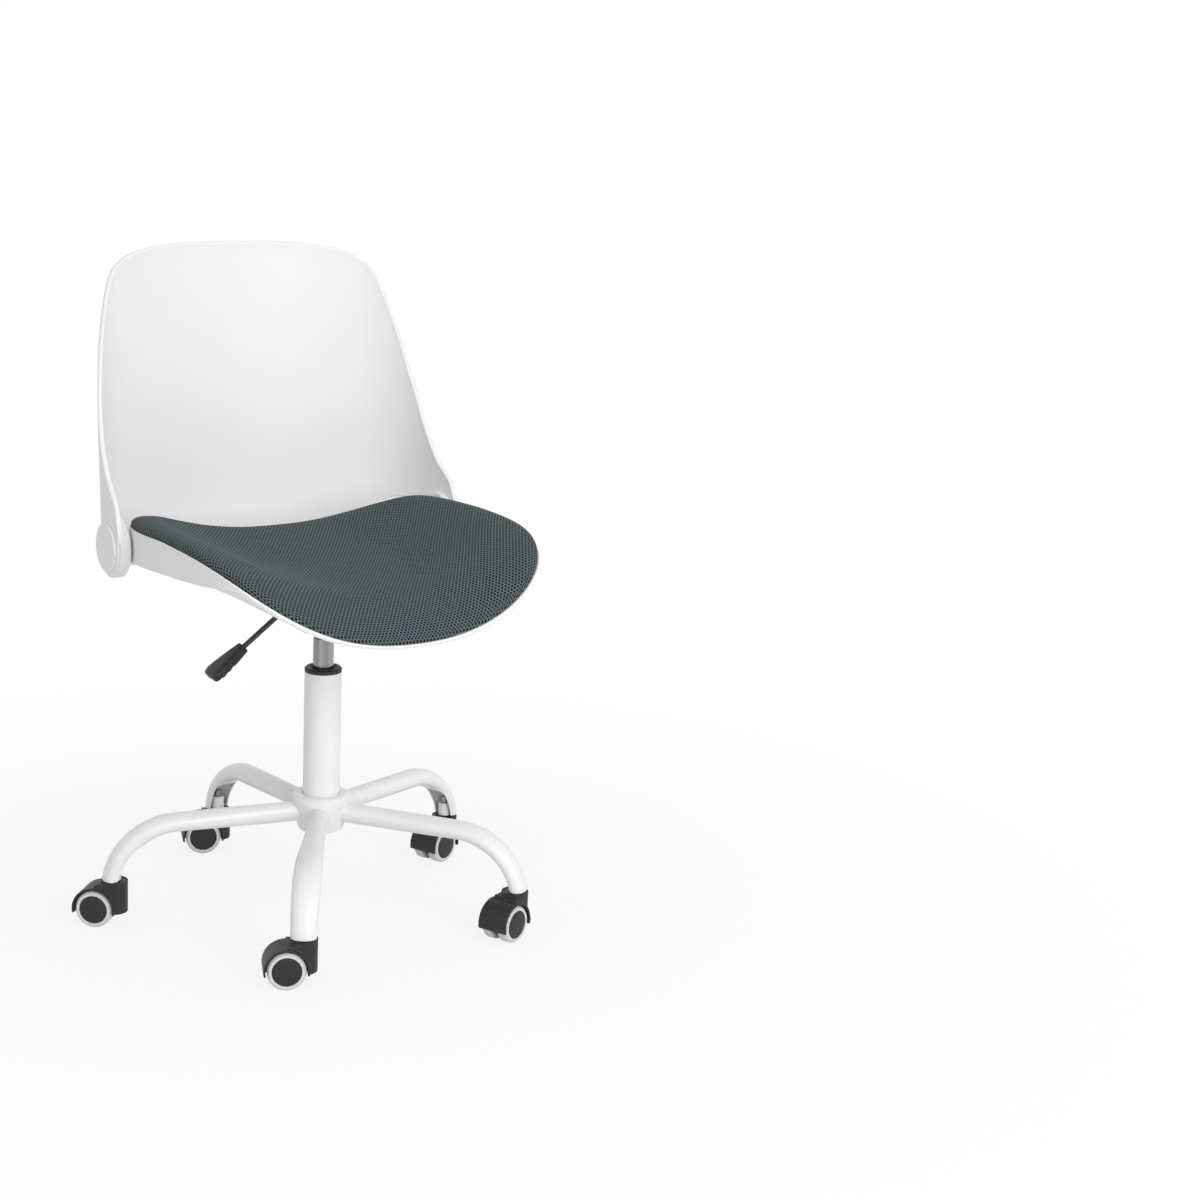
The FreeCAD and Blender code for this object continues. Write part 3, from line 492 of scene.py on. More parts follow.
class Shape:
    """A mesh under way, in millimetres in the chair's frame."""

    def __init__(self, name: str) -> None:
        """Start an empty mesh."""
        self.name = name
        self.points: list[Vector] = []
        self.faces: list[tuple[int, ...]] = []

    def grid(self, rows: np.ndarray, close_rows: bool = False, close_columns: bool = False) -> "Shape":
        """Add a sheet of quads.

        Args:
            rows: Points by row and column.
            close_rows: Whether the last row joins the first.
            close_columns: Whether the last column joins the first.

        Returns:
            The shape.
        """
        start = len(self.points)
        count, wide = rows.shape[:2]
        self.points.extend(Vector(point) for point in rows.reshape(-1, 3))
        for row in range(count if close_rows else count - 1):
            for column in range(wide if close_columns else wide - 1):
                across = (column + 1) % wide
                along = (row + 1) % count
                corners = ((row, column), (row, across), (along, across), (along, column))
                self.faces.append(tuple(start + line * wide + place for line, place in corners))
        return self

    def turned(self, outline: Sequence[Pair], place: Matrix, steps: int = 64) -> "Shape":
        """Add a closed outline of (radius, height) turned about an axis.

        Args:
            outline: The outline.
            place: Takes the Z axis to the piece's axis.
            steps: Facets round the axis.

        Returns:
            The shape.
        """
        rows = np.zeros((len(outline), steps, 3))
        for row, (radius, height) in enumerate(outline):
            for step in range(steps):
                angle = 2 * math.pi * step / steps
                spot = Vector((radius * math.cos(angle), radius * math.sin(angle), height))
                rows[row, step] = place @ spot
        return self.grid(rows, True, True)

    def build(self, outward: bool = True) -> bpy.types.Object:
        """Make the object, with doubles merged and faces pointing out.

        Args:
            outward: Whether the faces are turned outwards; a single sheet keeps its own.

        Returns:
            The object, at the origin.
        """
        mesh = bpy.data.meshes.new(self.name)
        mesh.from_pydata([point * MM for point in self.points], [], self.faces)
        work = bmesh.new()
        work.from_mesh(mesh)
        bmesh.ops.remove_doubles(work, verts=work.verts, dist=0.00001)
        bmesh.ops.dissolve_degenerate(work, edges=work.edges, dist=0.000001)
        if outward:
            bmesh.ops.recalc_face_normals(work, faces=work.faces)
        work.to_mesh(mesh)
        work.free()
        mesh.shade_smooth()
        made = bpy.data.objects.new(self.name, mesh)
        bpy.context.scene.collection.objects.link(made)
        return made


def refined(piece: bpy.types.Object) -> bpy.types.Object:
    """Smooth a piece with a subdivision surface and give it back."""
    smooth = piece.modifiers.new("smooth", "SUBSURF")
    smooth.levels = 1
    smooth.render_levels = 1
    return piece


def settled(piece: bpy.types.Object) -> bpy.types.Object:
    """Turn a piece with modifiers into a plain mesh and give it back."""
    graph = bpy.context.evaluated_depsgraph_get()
    plain = bpy.data.meshes.new_from_object(piece.evaluated_get(graph))
    piece.modifiers.clear()
    piece.data = plain
    piece.data.shade_smooth()
    return piece


class Maker:
    """Dresses finished pieces and sets them on the CAD bodies."""

    def __init__(self, frame: dict[str, Any], palette: Palette) -> None:
        """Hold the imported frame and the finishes."""
        self.frame = frame
        self.palette = palette

    def keep(self, piece: bpy.types.Object, slot: Slot, body: str, *nodes: str) -> bpy.types.Object:
        """Dress a piece, let it ride on a body and stand for CAD nodes.

        Args:
            piece: The piece.
            slot: Its finish.
            body: The body it moves with.
            nodes: The CAD nodes it replaces.

        Returns:
            The piece.
        """
        self.palette.dress(piece, slot)
        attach(piece, body)
        if nodes:
            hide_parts(*nodes)
        LOG.info("%s rides on %s", piece.name, body)
        return piece

    def dress_nodes(self) -> None:
        """Give every CAD node the finish that the record names for it."""
        for row in self.frame["record"]["subparts"]:
            self.palette.dress(self.frame["nodes"][row["node"]], Slot(row["material_slot"]))


def along_x(side: Side, aft: float, high: float) -> Matrix:
    """Give the place that takes the Z axis out to one side along X."""
    turn = Vector((0, 0, 1)).rotation_difference(Vector((side.value, 0, 0)))
    return Matrix.Translation((0, aft, high)) @ turn.to_matrix().to_4x4()


@dataclass
class Base:
    """The hub, column and five bent legs with the sockets in their tips."""

    maker: Maker
    first_leg: float = 95.5
    leg_count: int = 5
    stem_circle: float = STEM_CIRCLE
    leg_reach: float = 285.5
    leg_height: float = 137.0
    leg_bend: float = 90.0
    leg_tip: float = 63.0
    leg_wall: float = 1.8
    fall: float = 1.2
    hub: Sequence[Pair] = (
        (25.0, 115.0), (30.0, 115.0), (39.5, 154.0), (39.5, 161.0), (35.5, 165.0), (25.0, 165.0),
    )
    column: Sequence[Pair] = (
        (4.05, 117.0), (25.0, 117.0), (25.0, 335.0), (23.0, 335.0), (23.0, 120.0), (4.05, 120.0),
    )
    collar: Sequence[Pair] = (
        (14.6, 335.0), (25.0, 335.0), (25.0, 339.5), (23.0, 341.5), (18.5, 341.5), (14.6, 337.6),
    )
    socket: Sequence[Pair] = ((5.55, 63.0), (9.0, 63.0), (9.0, 81.5), (5.55, 81.5))
    straight_stops: Sequence[float] = (22.0, 88.0, 141.0, 195.5)
    straight_wide: Sequence[float] = (27.0, 27.0, 30.0, 35.0)
    straight_deep: Sequence[float] = (27.0, 27.0, 26.5, 25.0)
    bend_stops: Sequence[float] = (0.0, 18.0, 36.0, 54.0, 70.0, 84.0)
    bend_wide: Sequence[float] = (35.0, 37.0, 37.0, 36.0, 34.5, 33.5)
    bend_deep: float = 25.0
    slot_start: float = 36.0
    slot_round: float = 16.0
    slot_half: float = 54.0
    ring_steps: int = 44

    def stations(self) -> list[tuple[float, float, float, float, float]]:
        """List the leg's sections as reach, height, slope, breadth and depth."""
        listed = []
        bend_start = self.leg_reach - self.leg_bend
        tilt = math.tan(math.radians(self.fall))
        for reach in np.linspace(self.straight_stops[0], bend_start, 13)[:-1]:
            wide = eased_at(reach, self.straight_stops, self.straight_wide)
            deep = eased_at(reach, self.straight_stops, self.straight_deep)
            listed.append((reach, self.leg_height + (bend_start - reach) * tilt, 0.0, wide, deep))
        last = math.degrees(math.acos(1 - (self.leg_height - self.leg_tip) / self.leg_bend))
        for angle in np.linspace(0.0, last, 22):
            turn = math.radians(angle)
            wide = eased_at(angle, self.bend_stops, self.bend_wide)
            reach = bend_start + self.leg_bend * math.sin(turn)
            height = self.leg_height - self.leg_bend * (1 - math.cos(turn))
            listed.append((reach, height, angle, wide, self.bend_deep))
        return listed

    def opening(self, angle: float) -> float:
        """Give half the width of the open channel, in degrees round the section, at an angle of the bend."""
        share = (angle - self.slot_start) / self.slot_round
        if share <= 0:
            return 0.0
        return self.slot_half * math.sqrt(1 - (1 - min(share, 1.0)) ** 2)

    def leg_rows(self) -> np.ndarray:
        """Give the leg's outer skin as rows of points, for a leg along +X."""
        sections = self.stations()
        rows = np.zeros((len(sections), self.ring_steps + 1, 3))
        for row, (reach, height, slope, wide, deep) in enumerate(sections):
            turn = math.radians(slope)
            out = np.array((math.sin(turn), 0.0, math.cos(turn)))
            half = self.opening(slope)
            for step in range(self.ring_steps + 1):
                around = math.radians(-90 + half + (360 - 2 * half) * step / self.ring_steps)
                middle = np.array((reach, 0.5 * wide * math.cos(around), height))
                rows[row, step] = middle + 0.5 * deep * math.sin(around) * out
        rows[-1, :, 2] = self.leg_tip
        return rows

    def make_legs(self) -> None:
        """Make the legs: an oval skin, open at its tip, with the tube's wall and rolled lips."""
        rows = self.leg_rows()
        for index in range(self.leg_count):
            angle = math.radians(self.first_leg + 360.0 * index / self.leg_count)
            spin = np.array(Matrix.Rotation(angle, 3, "Z"))
            leg = Shape(f"bent_leg_{index + 1}").grid(rows @ spin.T).build(False)
            normal = leg.data.polygons[self.ring_steps // 2].normal
            if normal.z < 0:
                leg.data.flip_normals()
            wall = leg.modifiers.new("wall", "SOLIDIFY")
            wall.thickness = self.leg_wall * MM
            wall.offset = -1.0
            refined(leg)
            self.maker.keep(leg, Slot.PAINT, "base", f"leg_{index + 1}")

    def make_turned(self) -> None:
        """Make the hub, the column and its collar."""
        for name, outline, radius, slot, node in (
            ("hub", self.hub, 3.0, Slot.PAINT, "base_hub"),
            ("column", self.column, 0.8, Slot.PAINT, "column_tube"),
            ("collar", self.collar, 0.7, Slot.NYLON, "column_collar"),
        ):
            piece = Shape(name).turned(softened(outline, radius), AXIS_Z, 96).build()
            self.maker.keep(piece, slot, "base", node)

    def make_sockets(self) -> None:
        """Make the stem sockets, one on each point of a ring under the leg tips."""
        pattern = Shape("socket_pattern").turned(softened(self.socket, 0.8), AXIS_Z, 40).build()
        ring = RingOfPieces(pattern, self.leg_count, self.stem_circle * MM, math.radians(self.first_leg))
        piece = ring.make("stem_sockets", self.maker.palette.materials[Slot.PAINT])
        self.maker.keep(piece, Slot.PAINT, "base", "caster_sockets")

    def make(self) -> None:
        """Make every piece of the base."""
        self.make_turned()
        self.make_legs()
        self.make_sockets()


@dataclass
class RingOfPieces:
    """Sets one pattern piece on each point of a ring by Geometry Nodes."""

    pattern: bpy.types.Object
    count: int
    radius: float
    first: float

    def tree(self, material: bpy.types.Material) -> bpy.types.NodeTree:
        """Build the tree with named inputs for its sizes.

        Args:
            material: What the realised pieces wear.

        Returns:
            The tree.
        """
        group = bpy.data.node_groups.new("ring_of_pieces", "GeometryNodeTree")
        for name, way, kind in (
            ("Geometry", "INPUT", "NodeSocketGeometry"),
            ("Count", "INPUT", "NodeSocketInt"),
            ("Radius", "INPUT", "NodeSocketFloat"),
            ("First", "INPUT", "NodeSocketFloat"),
            ("Geometry", "OUTPUT", "NodeSocketGeometry"),
        ):
            group.interface.new_socket(name, in_out=way, socket_type=kind)
        start = add_node(group, "NodeGroupInput").outputs
        sizes = {"Vertices": start["Count"], "Radius": start["Radius"]}
        circle = add_node(group, "GeometryNodeMeshCircle", {}, sizes)
        turn = add_node(group, "ShaderNodeCombineXYZ", {}, {"Z": start["First"]})
        turned = {"Geometry": circle.outputs[0], "Rotation": turn.outputs[0]}
        spin = add_node(group, "GeometryNodeTransform", {}, turned)
        copies = {"Points": spin.outputs[0], "Instance": start["Geometry"]}
        lay = add_node(group, "GeometryNodeInstanceOnPoints", {}, copies)
        real = add_node(group, "GeometryNodeRealizeInstances", {}, {"Geometry": lay.outputs[0]})
        dressed = {"Geometry": real.outputs[0], "Material": material}
        wear = add_node(group, "GeometryNodeSetMaterial", {}, dressed)
        add_node(group, "NodeGroupOutput", {}, {"Geometry": wear.outputs[0]})
        return group

    def make(self, name: str, material: bpy.types.Material) -> bpy.types.Object:
        """Lay the pieces and make them one plain mesh.

        Args:
            name: The new piece's name.
            material: What it wears.

        Returns:
            The piece.
        """
        group = self.tree(material)
        modifier = self.pattern.modifiers.new("ring", "NODES")
        modifier.node_group = group
        values = {"Count": self.count, "Radius": self.radius, "First": self.first}
        for item in group.interface.items_tree:
            if item.in_out == "INPUT" and item.name in values:
                modifier[item.identifier] = values[item.name]
        self.pattern.name = name
        return settled(self.pattern)


@dataclass
class GasLift:
    """The steel cylinder that slides in the column, and the black cup on its taper."""

    maker: Maker
    cylinder: Sequence[Pair] = (
        (5.05, 172.0), (14.0, 172.0), (14.0, 381.5), (13.2, 382.2), (13.2, 384.2), (14.0, 385.0),
        (14.0, 386.0), (13.4, 411.0), (4.05, 411.0), (4.05, 399.0), (5.05, 398.0),
    )
    cup: Sequence[Pair] = ((13.95, 388.0), (17.0, 388.0), (17.0, 411.0), (13.4, 411.0))

    def make(self) -> None:
        """Make the cylinder and the cup."""
        tube = Shape("lift_cylinder").turned(softened(self.cylinder, 0.5), AXIS_Z, 96).build()
        self.maker.keep(tube, Slot.STEEL, "seat", "gas_cylinder")
        cup = Shape("lift_cup").turned(softened(self.cup, 0.8), AXIS_Z, 80).build()
        self.maker.keep(cup, Slot.BLACK, "seat", "taper_cup")


@dataclass
class Lever:
    """The bent release rod and its paddle handle with finger grips underneath."""

    maker: Maker
    high: float = 421.0
    pivot: float = 38.0
    rod_radius: float = 3.5
    bend_at: float = 56.0
    bend_radius: float = 24.0
    drop: float = 37.5
    length: float = 58.0
    handle_length: float = 60.0
    handle_stops: Sequence[float] = (0.0, 0.25, 0.5, 0.75, 0.92, 1.0)
    handle_wide: Sequence[float] = (15.0, 22.3, 30.0, 36.0, 34.0, 27.0)
    handle_thick: float = 14.0
    handle_square: float = 0.42
    grips: int = 3
    grip_from: float = 0.42
    grip_to: float = 0.95
    grip_deep: float = 0.75
    rod_start: float = 4.0
    pivot_boss: Sequence[Pair] = ((3.05, -6.0), (6.0, -6.0), (6.0, 6.0), (3.05, 6.0))
    bend_steps: int = 10
    rod_facets: int = 24
    handle_facets: int = 32

    def bend_spot(self, angle: float) -> Vector:
        """Give the rod's middle at an angle in degrees round its bend."""
        turn = math.radians(angle)
        out = self.bend_at + self.bend_radius * math.sin(turn)
        return Vector((-out, 0.0, self.high - self.bend_radius * (1 - math.cos(turn))))

    def line(self) -> tuple[Vector, Vector, Vector]:
        """Give the end of the bend, the lower run's direction and the direction square to it, upwards."""
        fall = math.radians(self.drop)
        along = Vector((-math.cos(fall), 0.0, -math.sin(fall)))
        return self.bend_spot(self.drop), along, Vector((-math.sin(fall), 0.0, math.cos(fall)))

    def make_rod(self) -> None:
        """Make the rod: a round bar along its bent line, with the pivot boss."""
        end, along, _ = self.line()
        spots = [(Vector((across, 0.0, self.high)), 0.0) for across in (self.rod_start, -self.bend_at)]
        for step in range(1, self.bend_steps + 1):
            angle = self.drop * step / self.bend_steps
            spots.append((self.bend_spot(angle), angle))
        spots.append((end + along * (self.length + 0.4 * self.handle_length), self.drop))
        sections = [(*spots[0], 0.001), *((*spot, self.rod_radius) for spot in spots), (*spots[-1], 0.001)]
        rows = np.zeros((len(sections), self.rod_facets, 3))
        for row, (spot, angle, radius) in enumerate(sections):
            turn = math.radians(angle)
            square = Vector((-math.sin(turn), 0.0, math.cos(turn)))
            for step in range(self.rod_facets):
                around = 2 * math.pi * step / self.rod_facets
                outward = math.cos(around) * Vector((0, 1, 0)) + math.sin(around) * square
                rows[row, step] = spot + radius * outward
        rod = Shape("release_rod").grid(rows, False, True)
        place = Matrix.Translation((-self.pivot, 0, self.high)) @ Matrix.Rotation(math.radians(-90), 4, "X")
        rod.turned(softened(self.pivot_boss, 0.6), place, 40)
        piece = rod.build()
        piece.data.set_sharp_from_angle(angle=math.radians(50))
        self.maker.keep(piece, Slot.BLACK, "lever", "lever_rod")

    def make_handle(self) -> None:
        """Make the handle: rounded sections that broaden, scalloped below for the fingers."""
        end, along, up = self.line()
        neck = end + along * self.length
        shares = np.concatenate(([0.0, 0.0, 0.015], np.linspace(0.04, 0.96, 40), [0.985, 1.0, 1.0]))
        broad = eased(shares, self.handle_stops, self.handle_wide)
        rows = np.zeros((len(shares), self.handle_facets, 3))
        for row, share in enumerate(shares):
            closing = 0.02 if row in (0, len(shares) - 1) else 1.0
            inset = 0.9 if row in (1, len(shares) - 2) else 1.0
            wide = 0.5 * broad[row] * inset * closing
            thick = 0.5 * self.handle_thick * (0.9 + 0.1 * min(1.0, share / 0.25)) * inset * closing
            tip = max(0.0, (share - 0.8) / 0.2)
            thick *= 1 - 0.22 * tip**2
            grip = 0.0
            if self.grip_from < share < self.grip_to:
                wave = self.grips * (share - self.grip_from) / (self.grip_to - self.grip_from)
                grip = self.grip_deep * (1 - math.cos(2 * math.pi * wave))
            for step in range(self.handle_facets):
                angle = 2 * math.pi * (step + 0.5) / self.handle_facets
                across = math.copysign(abs(math.cos(angle)) ** self.handle_square, math.cos(angle))
                height = math.copysign(abs(math.sin(angle)) ** self.handle_square, math.sin(angle))
                lift = grip * max(0.0, -height) * closing
                middle = neck + along * (self.handle_length * share) + Vector((0, -1, 0)) * (wide * across)
                rows[row, step] = middle + up * (thick * height + lift)
        piece = refined(Shape("paddle_handle").grid(rows, False, True).build())
        self.maker.keep(piece, Slot.NYLON, "lever", "lever_handle")

    def make(self) -> None:
        """Make the rod and the handle."""
        self.make_rod()
        self.make_handle()


@dataclass
class Seat:
    """The dished seat shell with its hinge lugs and screw pads, and the mesh cushion in it."""

    maker: Maker
    half: float = SEAT_HALF
    centre: float = -20.0
    fore: float = 232.0
    aft: float = 223.0
    square: float = 3.8
    floor: float = 433.0
    rise: float = 101.0
    front_drop: float = 1.0
    tip_drop: float = 11.0
    rear_rise: float = 42.0
    front_curl: float = 2.25
    rear_curl: float = 3.0
    wall: float = 4.6
    skirt_drop: float = 19.2
    skirt_slope: float = 0.08
    inset: float = 1.5
    edge: float = 5.0
    crown: float = 41.0
    shoulder: float = 0.42
    tip_thin: float = 0.3
    seam: float = 0.5
    roll_power: float = 3.0
    roll_ease: float = 0.62
    lip: Sequence[Pair] = ((0.9, 0.15), (1.9, 1.6), (2.0, 3.6), (1.2, 5.4), (0.0, 6.4))
    lip_less_on_flank: float = 0.6
    lip_less_at_hinge: float = 0.9
    lug: Sequence[Pair] = ((7.0, 216.5), (26.0, 216.5), (26.0, 236.2), (7.0, 236.2))
    pad: Sequence[Pair] = ((3.0, 427.0), (8.5, 427.0), (8.5, 431.0), (3.0, 431.0))
    pad_across: float = 34.0
    pad_along: float = 62.0
    hinge_aft: float = HINGE_AFT
    hinge_high: float = HINGE_HIGH
    swell: float = 3.5
    swell_cap: float = 1.6
    pressure: float = 4.0
    moments: int = 20
    round_steps: int = 168

    def height(self, across: np.ndarray, along: np.ndarray) -> np.ndarray:
        """Give the height of the shell's upper face.

        Args:
            across: Places along X.
            along: Places along Y.

        Returns:
            Heights.
        """
        front = self.centre - self.fore
        rear = self.centre + self.aft
        fore = np.maximum(0.0, (-along - 0.25 * self.fore) / (-front - 0.25 * self.fore))
        aft = np.maximum(0.0, along / rear)
        middle = self.floor - self.front_drop * fore**2 + self.rear_rise * aft**2
        share = np.clip((along - front) / (rear - front), 0.0, 1.1)
        curl = self.front_curl + (self.rear_curl - self.front_curl) * share**2
        flank = np.abs(across) / self.half
        return middle + self.rise * flank**curl - self.tip_drop * flank**6 * self.nearness(along)

    def nearness(self, along: np.ndarray) -> np.ndarray:
        """Rise smoothly from 0 at the seat's middle to 1 at the hinge."""
        near = np.clip((along - self.centre) / (self.hinge_aft - self.centre), 0.0, 1.0)
        return near**2 * (3 - 2 * near)

    def underside(self, across: np.ndarray, along: np.ndarray) -> np.ndarray:
        """Give the height of the shell's lower face."""
        return self.height(np.maximum(0.0, np.abs(across) - 0.9 * self.wall), along) - self.wall

    def share(self, across: np.ndarray, along: np.ndarray) -> np.ndarray:
        """Give how far points lie towards the cushion's outline, 1 on it."""
        away = along - self.centre
        deep = np.where(away > 0, self.aft, self.fore) - self.inset
        sideways = (np.abs(across) / (self.half - self.inset)) ** self.square
        return (sideways + (np.abs(away) / deep) ** self.square) ** (1 / self.square)

    def cushion_top(self, across: np.ndarray, along: np.ndarray) -> np.ndarray:
        """Give the height of the cushion's upper face before it swells: level, then rolled down."""
        roll = np.clip((self.share(across, along) - self.shoulder) / (1 - self.shoulder), 0.0, 1.0)
        thin = 1 - self.tip_thin * (np.abs(across) / self.half) ** 4 * self.nearness(along)
        power = self.roll_power + self.roll_power * self.nearness(along)
        crown = (self.crown - self.swell) * (1 - roll**power) ** self.roll_ease
        return self.height(across, along) + self.seam + self.edge + crown * thin

    def outline(self, inset: float) -> np.ndarray:
        """Give evenly spaced points round the seat's outline.

        Args:
            inset: How far inside the shell's own outline.

        Returns:
            Points as rows of X and Y offsets from the seat's centre.
        """
        angles = np.linspace(0, 2 * math.pi, 4001)
        across = np.sign(np.cos(angles)) * np.abs(np.cos(angles)) ** (2 / self.square)
        along = np.sign(np.sin(angles)) * np.abs(np.sin(angles)) ** (2 / self.square)
        deep = np.where(along > 0, self.aft, self.fore) - inset
        line = np.stack(((self.half - inset) * across, deep * along), 1)
        steps = np.concatenate(([0.0], np.cumsum(np.linalg.norm(np.diff(line, axis=0), axis=1))))
        places = np.linspace(0, steps[-1], self.round_steps + 1)[:-1]
        return np.stack((np.interp(places, steps, line[:, 0]), np.interp(places, steps, line[:, 1])), 1)

    def rings(self, inset: float, shares: np.ndarray) -> tuple[np.ndarray, np.ndarray]:
        """Lay rings from the seat's middle out to its outline.

        Args:
            inset: How far the outermost ring is inside the shell's outline.
            shares: Each ring's share of the way out.

        Returns:
            X and Y of every point, by ring.
        """
        line = self.outline(inset)
        return shares[:, None] * line[None, :, 0], self.centre + shares[:, None] * line[None, :, 1]

    def make_shell(self) -> None:
        """Make the shell: both faces, the side walls under its rim, the two hinge lugs and the screw pads."""
        shares = np.concatenate(([0.001], np.linspace(0.05, 0.93, 30), [0.955, 0.975, 0.988, 1.0]))
        across, along = self.rings(0.0, shares)
        upper = laid(across, along, self.height(across, along))
        across, along = self.rings(self.wall, shares[:-2])
        lower = laid(across, along, self.underside(across, along))
        rows = np.concatenate((upper, self.side_wall(), lower[::-1]))
        shell = refined(Shape("seat_pan").grid(rows, False, True).build())
        extras = Shape("seat_lugs")
        for side in Side:
            place = along_x(side, self.hinge_aft, self.hinge_high)
            extras.turned(softened(self.lug, 1.6), place, 72)
            for spot in (-self.pad_along, self.pad_along):
                place = Matrix.Translation((side.value * self.pad_across, spot, 0.0))
                extras.turned(softened(self.pad, 0.5), place, 40)
        self.maker.keep(shell, Slot.SHELL, "seat", "seat_shell")
        self.maker.keep(extras.build(), Slot.SHELL, "seat")

    def side_wall(self) -> np.ndarray:
        """Give the rows over the rim's rolled lip, down the side wall's outer face and up its inner one.

        The lip is thinner on the flanks and at the hinge, where the folded back's arms pass it.

        Returns:
            Points by row and column.
        """
        across, along = self.rings(0.0, np.ones(1))
        top = self.height(across, along)
        foot = self.hinge_high - self.skirt_drop + self.skirt_slope * (self.hinge_aft - along)
        low = np.minimum(self.underside(across, along), foot)
        tall = top - low
        scale = np.minimum(1.0, 0.8 * tall / self.lip[-1][1])
        outer = []
        keep = 1 - self.lip_less_on_flank * (np.abs(across) / self.half) ** 4
        keep *= 1 - self.lip_less_at_hinge * self.nearness(along)
        for out, drop in self.lip:
            wide, deep = self.rings(-out, np.ones(1))
            wide, deep = across + keep * (wide - across), along + keep * (deep - along)
            outer.append(laid(wide, deep, top - drop * scale)[0])
        rest = tall - self.lip[-1][1] * scale
        for level in (low + 0.35 * rest, low + np.minimum(1.6, 0.15 * rest), low):
            outer.append(laid(across, along, level)[0])
        across, along = self.rings(self.wall, np.ones(1))
        roof = np.maximum(self.underside(across, along), low)
        inner = [laid(across, along, low + share * (roof - low))[0] for share in (0.0, 0.12, 0.9, 1.0)]
        return np.array(outer + inner)

    def flat_pattern(self, across: np.ndarray, along: np.ndarray) -> tuple[np.ndarray, np.ndarray]:
        """Give places on the cloth's flat pattern, by lengths over the cushion from its middle.

        Args:
            across: Places along X.
            along: Places along Y.

        Returns:
            The pattern's two coordinates in metres.
        """
        steps = np.sin(np.linspace(0.0, math.pi / 2, 81))
        reach = np.hypot(across, along - self.centre)
        length = np.zeros_like(reach)
        for first, last in zip(steps[:-1], steps[1:]):
            near = self.cushion_top(first * across, self.centre + first * (along - self.centre))
            far = self.cushion_top(last * across, self.centre + last * (along - self.centre))
            length += np.hypot((last - first) * reach, far - near)
        scale = MM * length / np.maximum(reach, 0.001)
        return across * scale, (along - self.centre) * scale

    def make_cushion(self) -> None:
        """Make the cushion: a crowned closed form, swollen by a cloth simulation, in mesh cloth."""
        rolled = self.shoulder + (1 - self.shoulder) * np.sin(np.linspace(0.0, math.pi / 2, 20))
        shares = np.concatenate(([0.001], np.linspace(0.035, self.shoulder - 0.03, 23), rolled))
        across, along = self.rings(self.inset, shares)
        top = laid(across, along, self.cushion_top(across, along))
        below = laid(across, along, self.height(across, along) + 0.6)
        under = below[:-1][::-1][::3]
        rows = np.concatenate((top, below[-1:], under, below[:1]))
        cushion = Shape("mesh_cushion").grid(rows, False, True).build()
        self.swell_out(cushion)
        self.lay_pattern(cushion)
        refined(cushion)
        self.maker.keep(cushion, Slot.WEAVE, "seat", "seat_cushion")

    def resting(self, cushion: bpy.types.Object) -> np.ndarray:
        """Tell which of the cushion's points lie on the shell or on its edge."""
        points = np.array([vertex.co for vertex in cushion.data.vertices]) / MM
        return points[:, 2] < self.height(points[:, 0], points[:, 1]) + self.seam + self.edge + 3.0

    def swell_out(self, cushion: bpy.types.Object) -> None:
        """Blow the cushion up a little as cloth over foam, capped, with its underside held.

        Args:
            cushion: The cushion.
        """
        before = np.array([vertex.co for vertex in cushion.data.vertices])
        held = self.resting(cushion)
        group = cushion.vertex_groups.new(name="held")
        group.add([int(index) for index in np.nonzero(held)[0]], 1.0, "REPLACE")
        cloth = cushion.modifiers.new("cloth", "CLOTH")
        cloth.settings.use_pressure = True
        cloth.settings.uniform_pressure_force = self.pressure
        cloth.settings.vertex_group_mass = "held"
        cloth.settings.effector_weights.gravity = 0.0
        cloth.settings.quality = 5
        scene = bpy.context.scene
        for moment in range(1, self.moments + 1):
            scene.frame_set(moment)
        graph = bpy.context.evaluated_depsgraph_get()
        swollen = np.array([vertex.co for vertex in cushion.evaluated_get(graph).data.vertices])
        cushion.modifiers.clear()
        cushion.vertex_groups.clear()
        scene.frame_set(1)
        move = self.evened(cushion, swollen - before)
        far = np.linalg.norm(move, axis=1, keepdims=True)
        cap = self.swell_cap * self.swell * MM
        move *= np.minimum(1.0, cap / np.maximum(far, 1e-9))
        LOG.info("cushion swells by up to %.1f mm", 1000 * float(np.linalg.norm(move, axis=1).max()))
        for vertex, shift in zip(cushion.data.vertices, move):
            vertex.co += Vector(shift)

    def evened(self, cushion: bpy.types.Object, move: np.ndarray, passes: int = 40) -> np.ndarray:
        """Even out the swelling between neighbouring points, so that the cloth lies without creases.

        Args:
            cushion: The cushion.
            move: Each point's move.
            passes: How often neighbours share their moves.

        Returns:
            The evened moves.
        """
        ends = np.array([edge.vertices for edge in cushion.data.edges])
        count = np.bincount(ends.ravel(), minlength=len(move))[:, None]
        for _ in range(passes):
            total = np.zeros_like(move)
            np.add.at(total, ends[:, 0], move[ends[:, 1]])
            np.add.at(total, ends[:, 1], move[ends[:, 0]])
            move = 0.5 * move + 0.5 * total / count
        return move

    def lay_pattern(self, cushion: bpy.types.Object) -> None:
        """Give the cushion the UV map that its weave follows.

        Args:
            cushion: The cushion.
        """
        points = np.array([vertex.co for vertex in cushion.data.vertices]) / MM
        wide, deep = self.flat_pattern(points[:, 0], points[:, 1])
        drop = np.clip(self.cushion_top(points[:, 0], points[:, 1]) - points[:, 2], 0.0, self.edge)
        drop = MM * np.where(self.share(points[:, 0], points[:, 1]) > 0.99, drop, 0.0)
        reach = np.maximum(np.hypot(wide, deep), 0.001)
        wide, deep = wide * (1 + drop / reach), deep * (1 + drop / reach)
        layer = cushion.data.uv_layers.new(name="pattern")
        for loop in cushion.data.loops:
            layer.data[loop.index].uv = (wide[loop.vertex_index], deep[loop.vertex_index])

    def make(self) -> None:
        """Make the shell and the cushion."""
        self.make_shell()
        self.make_cushion()


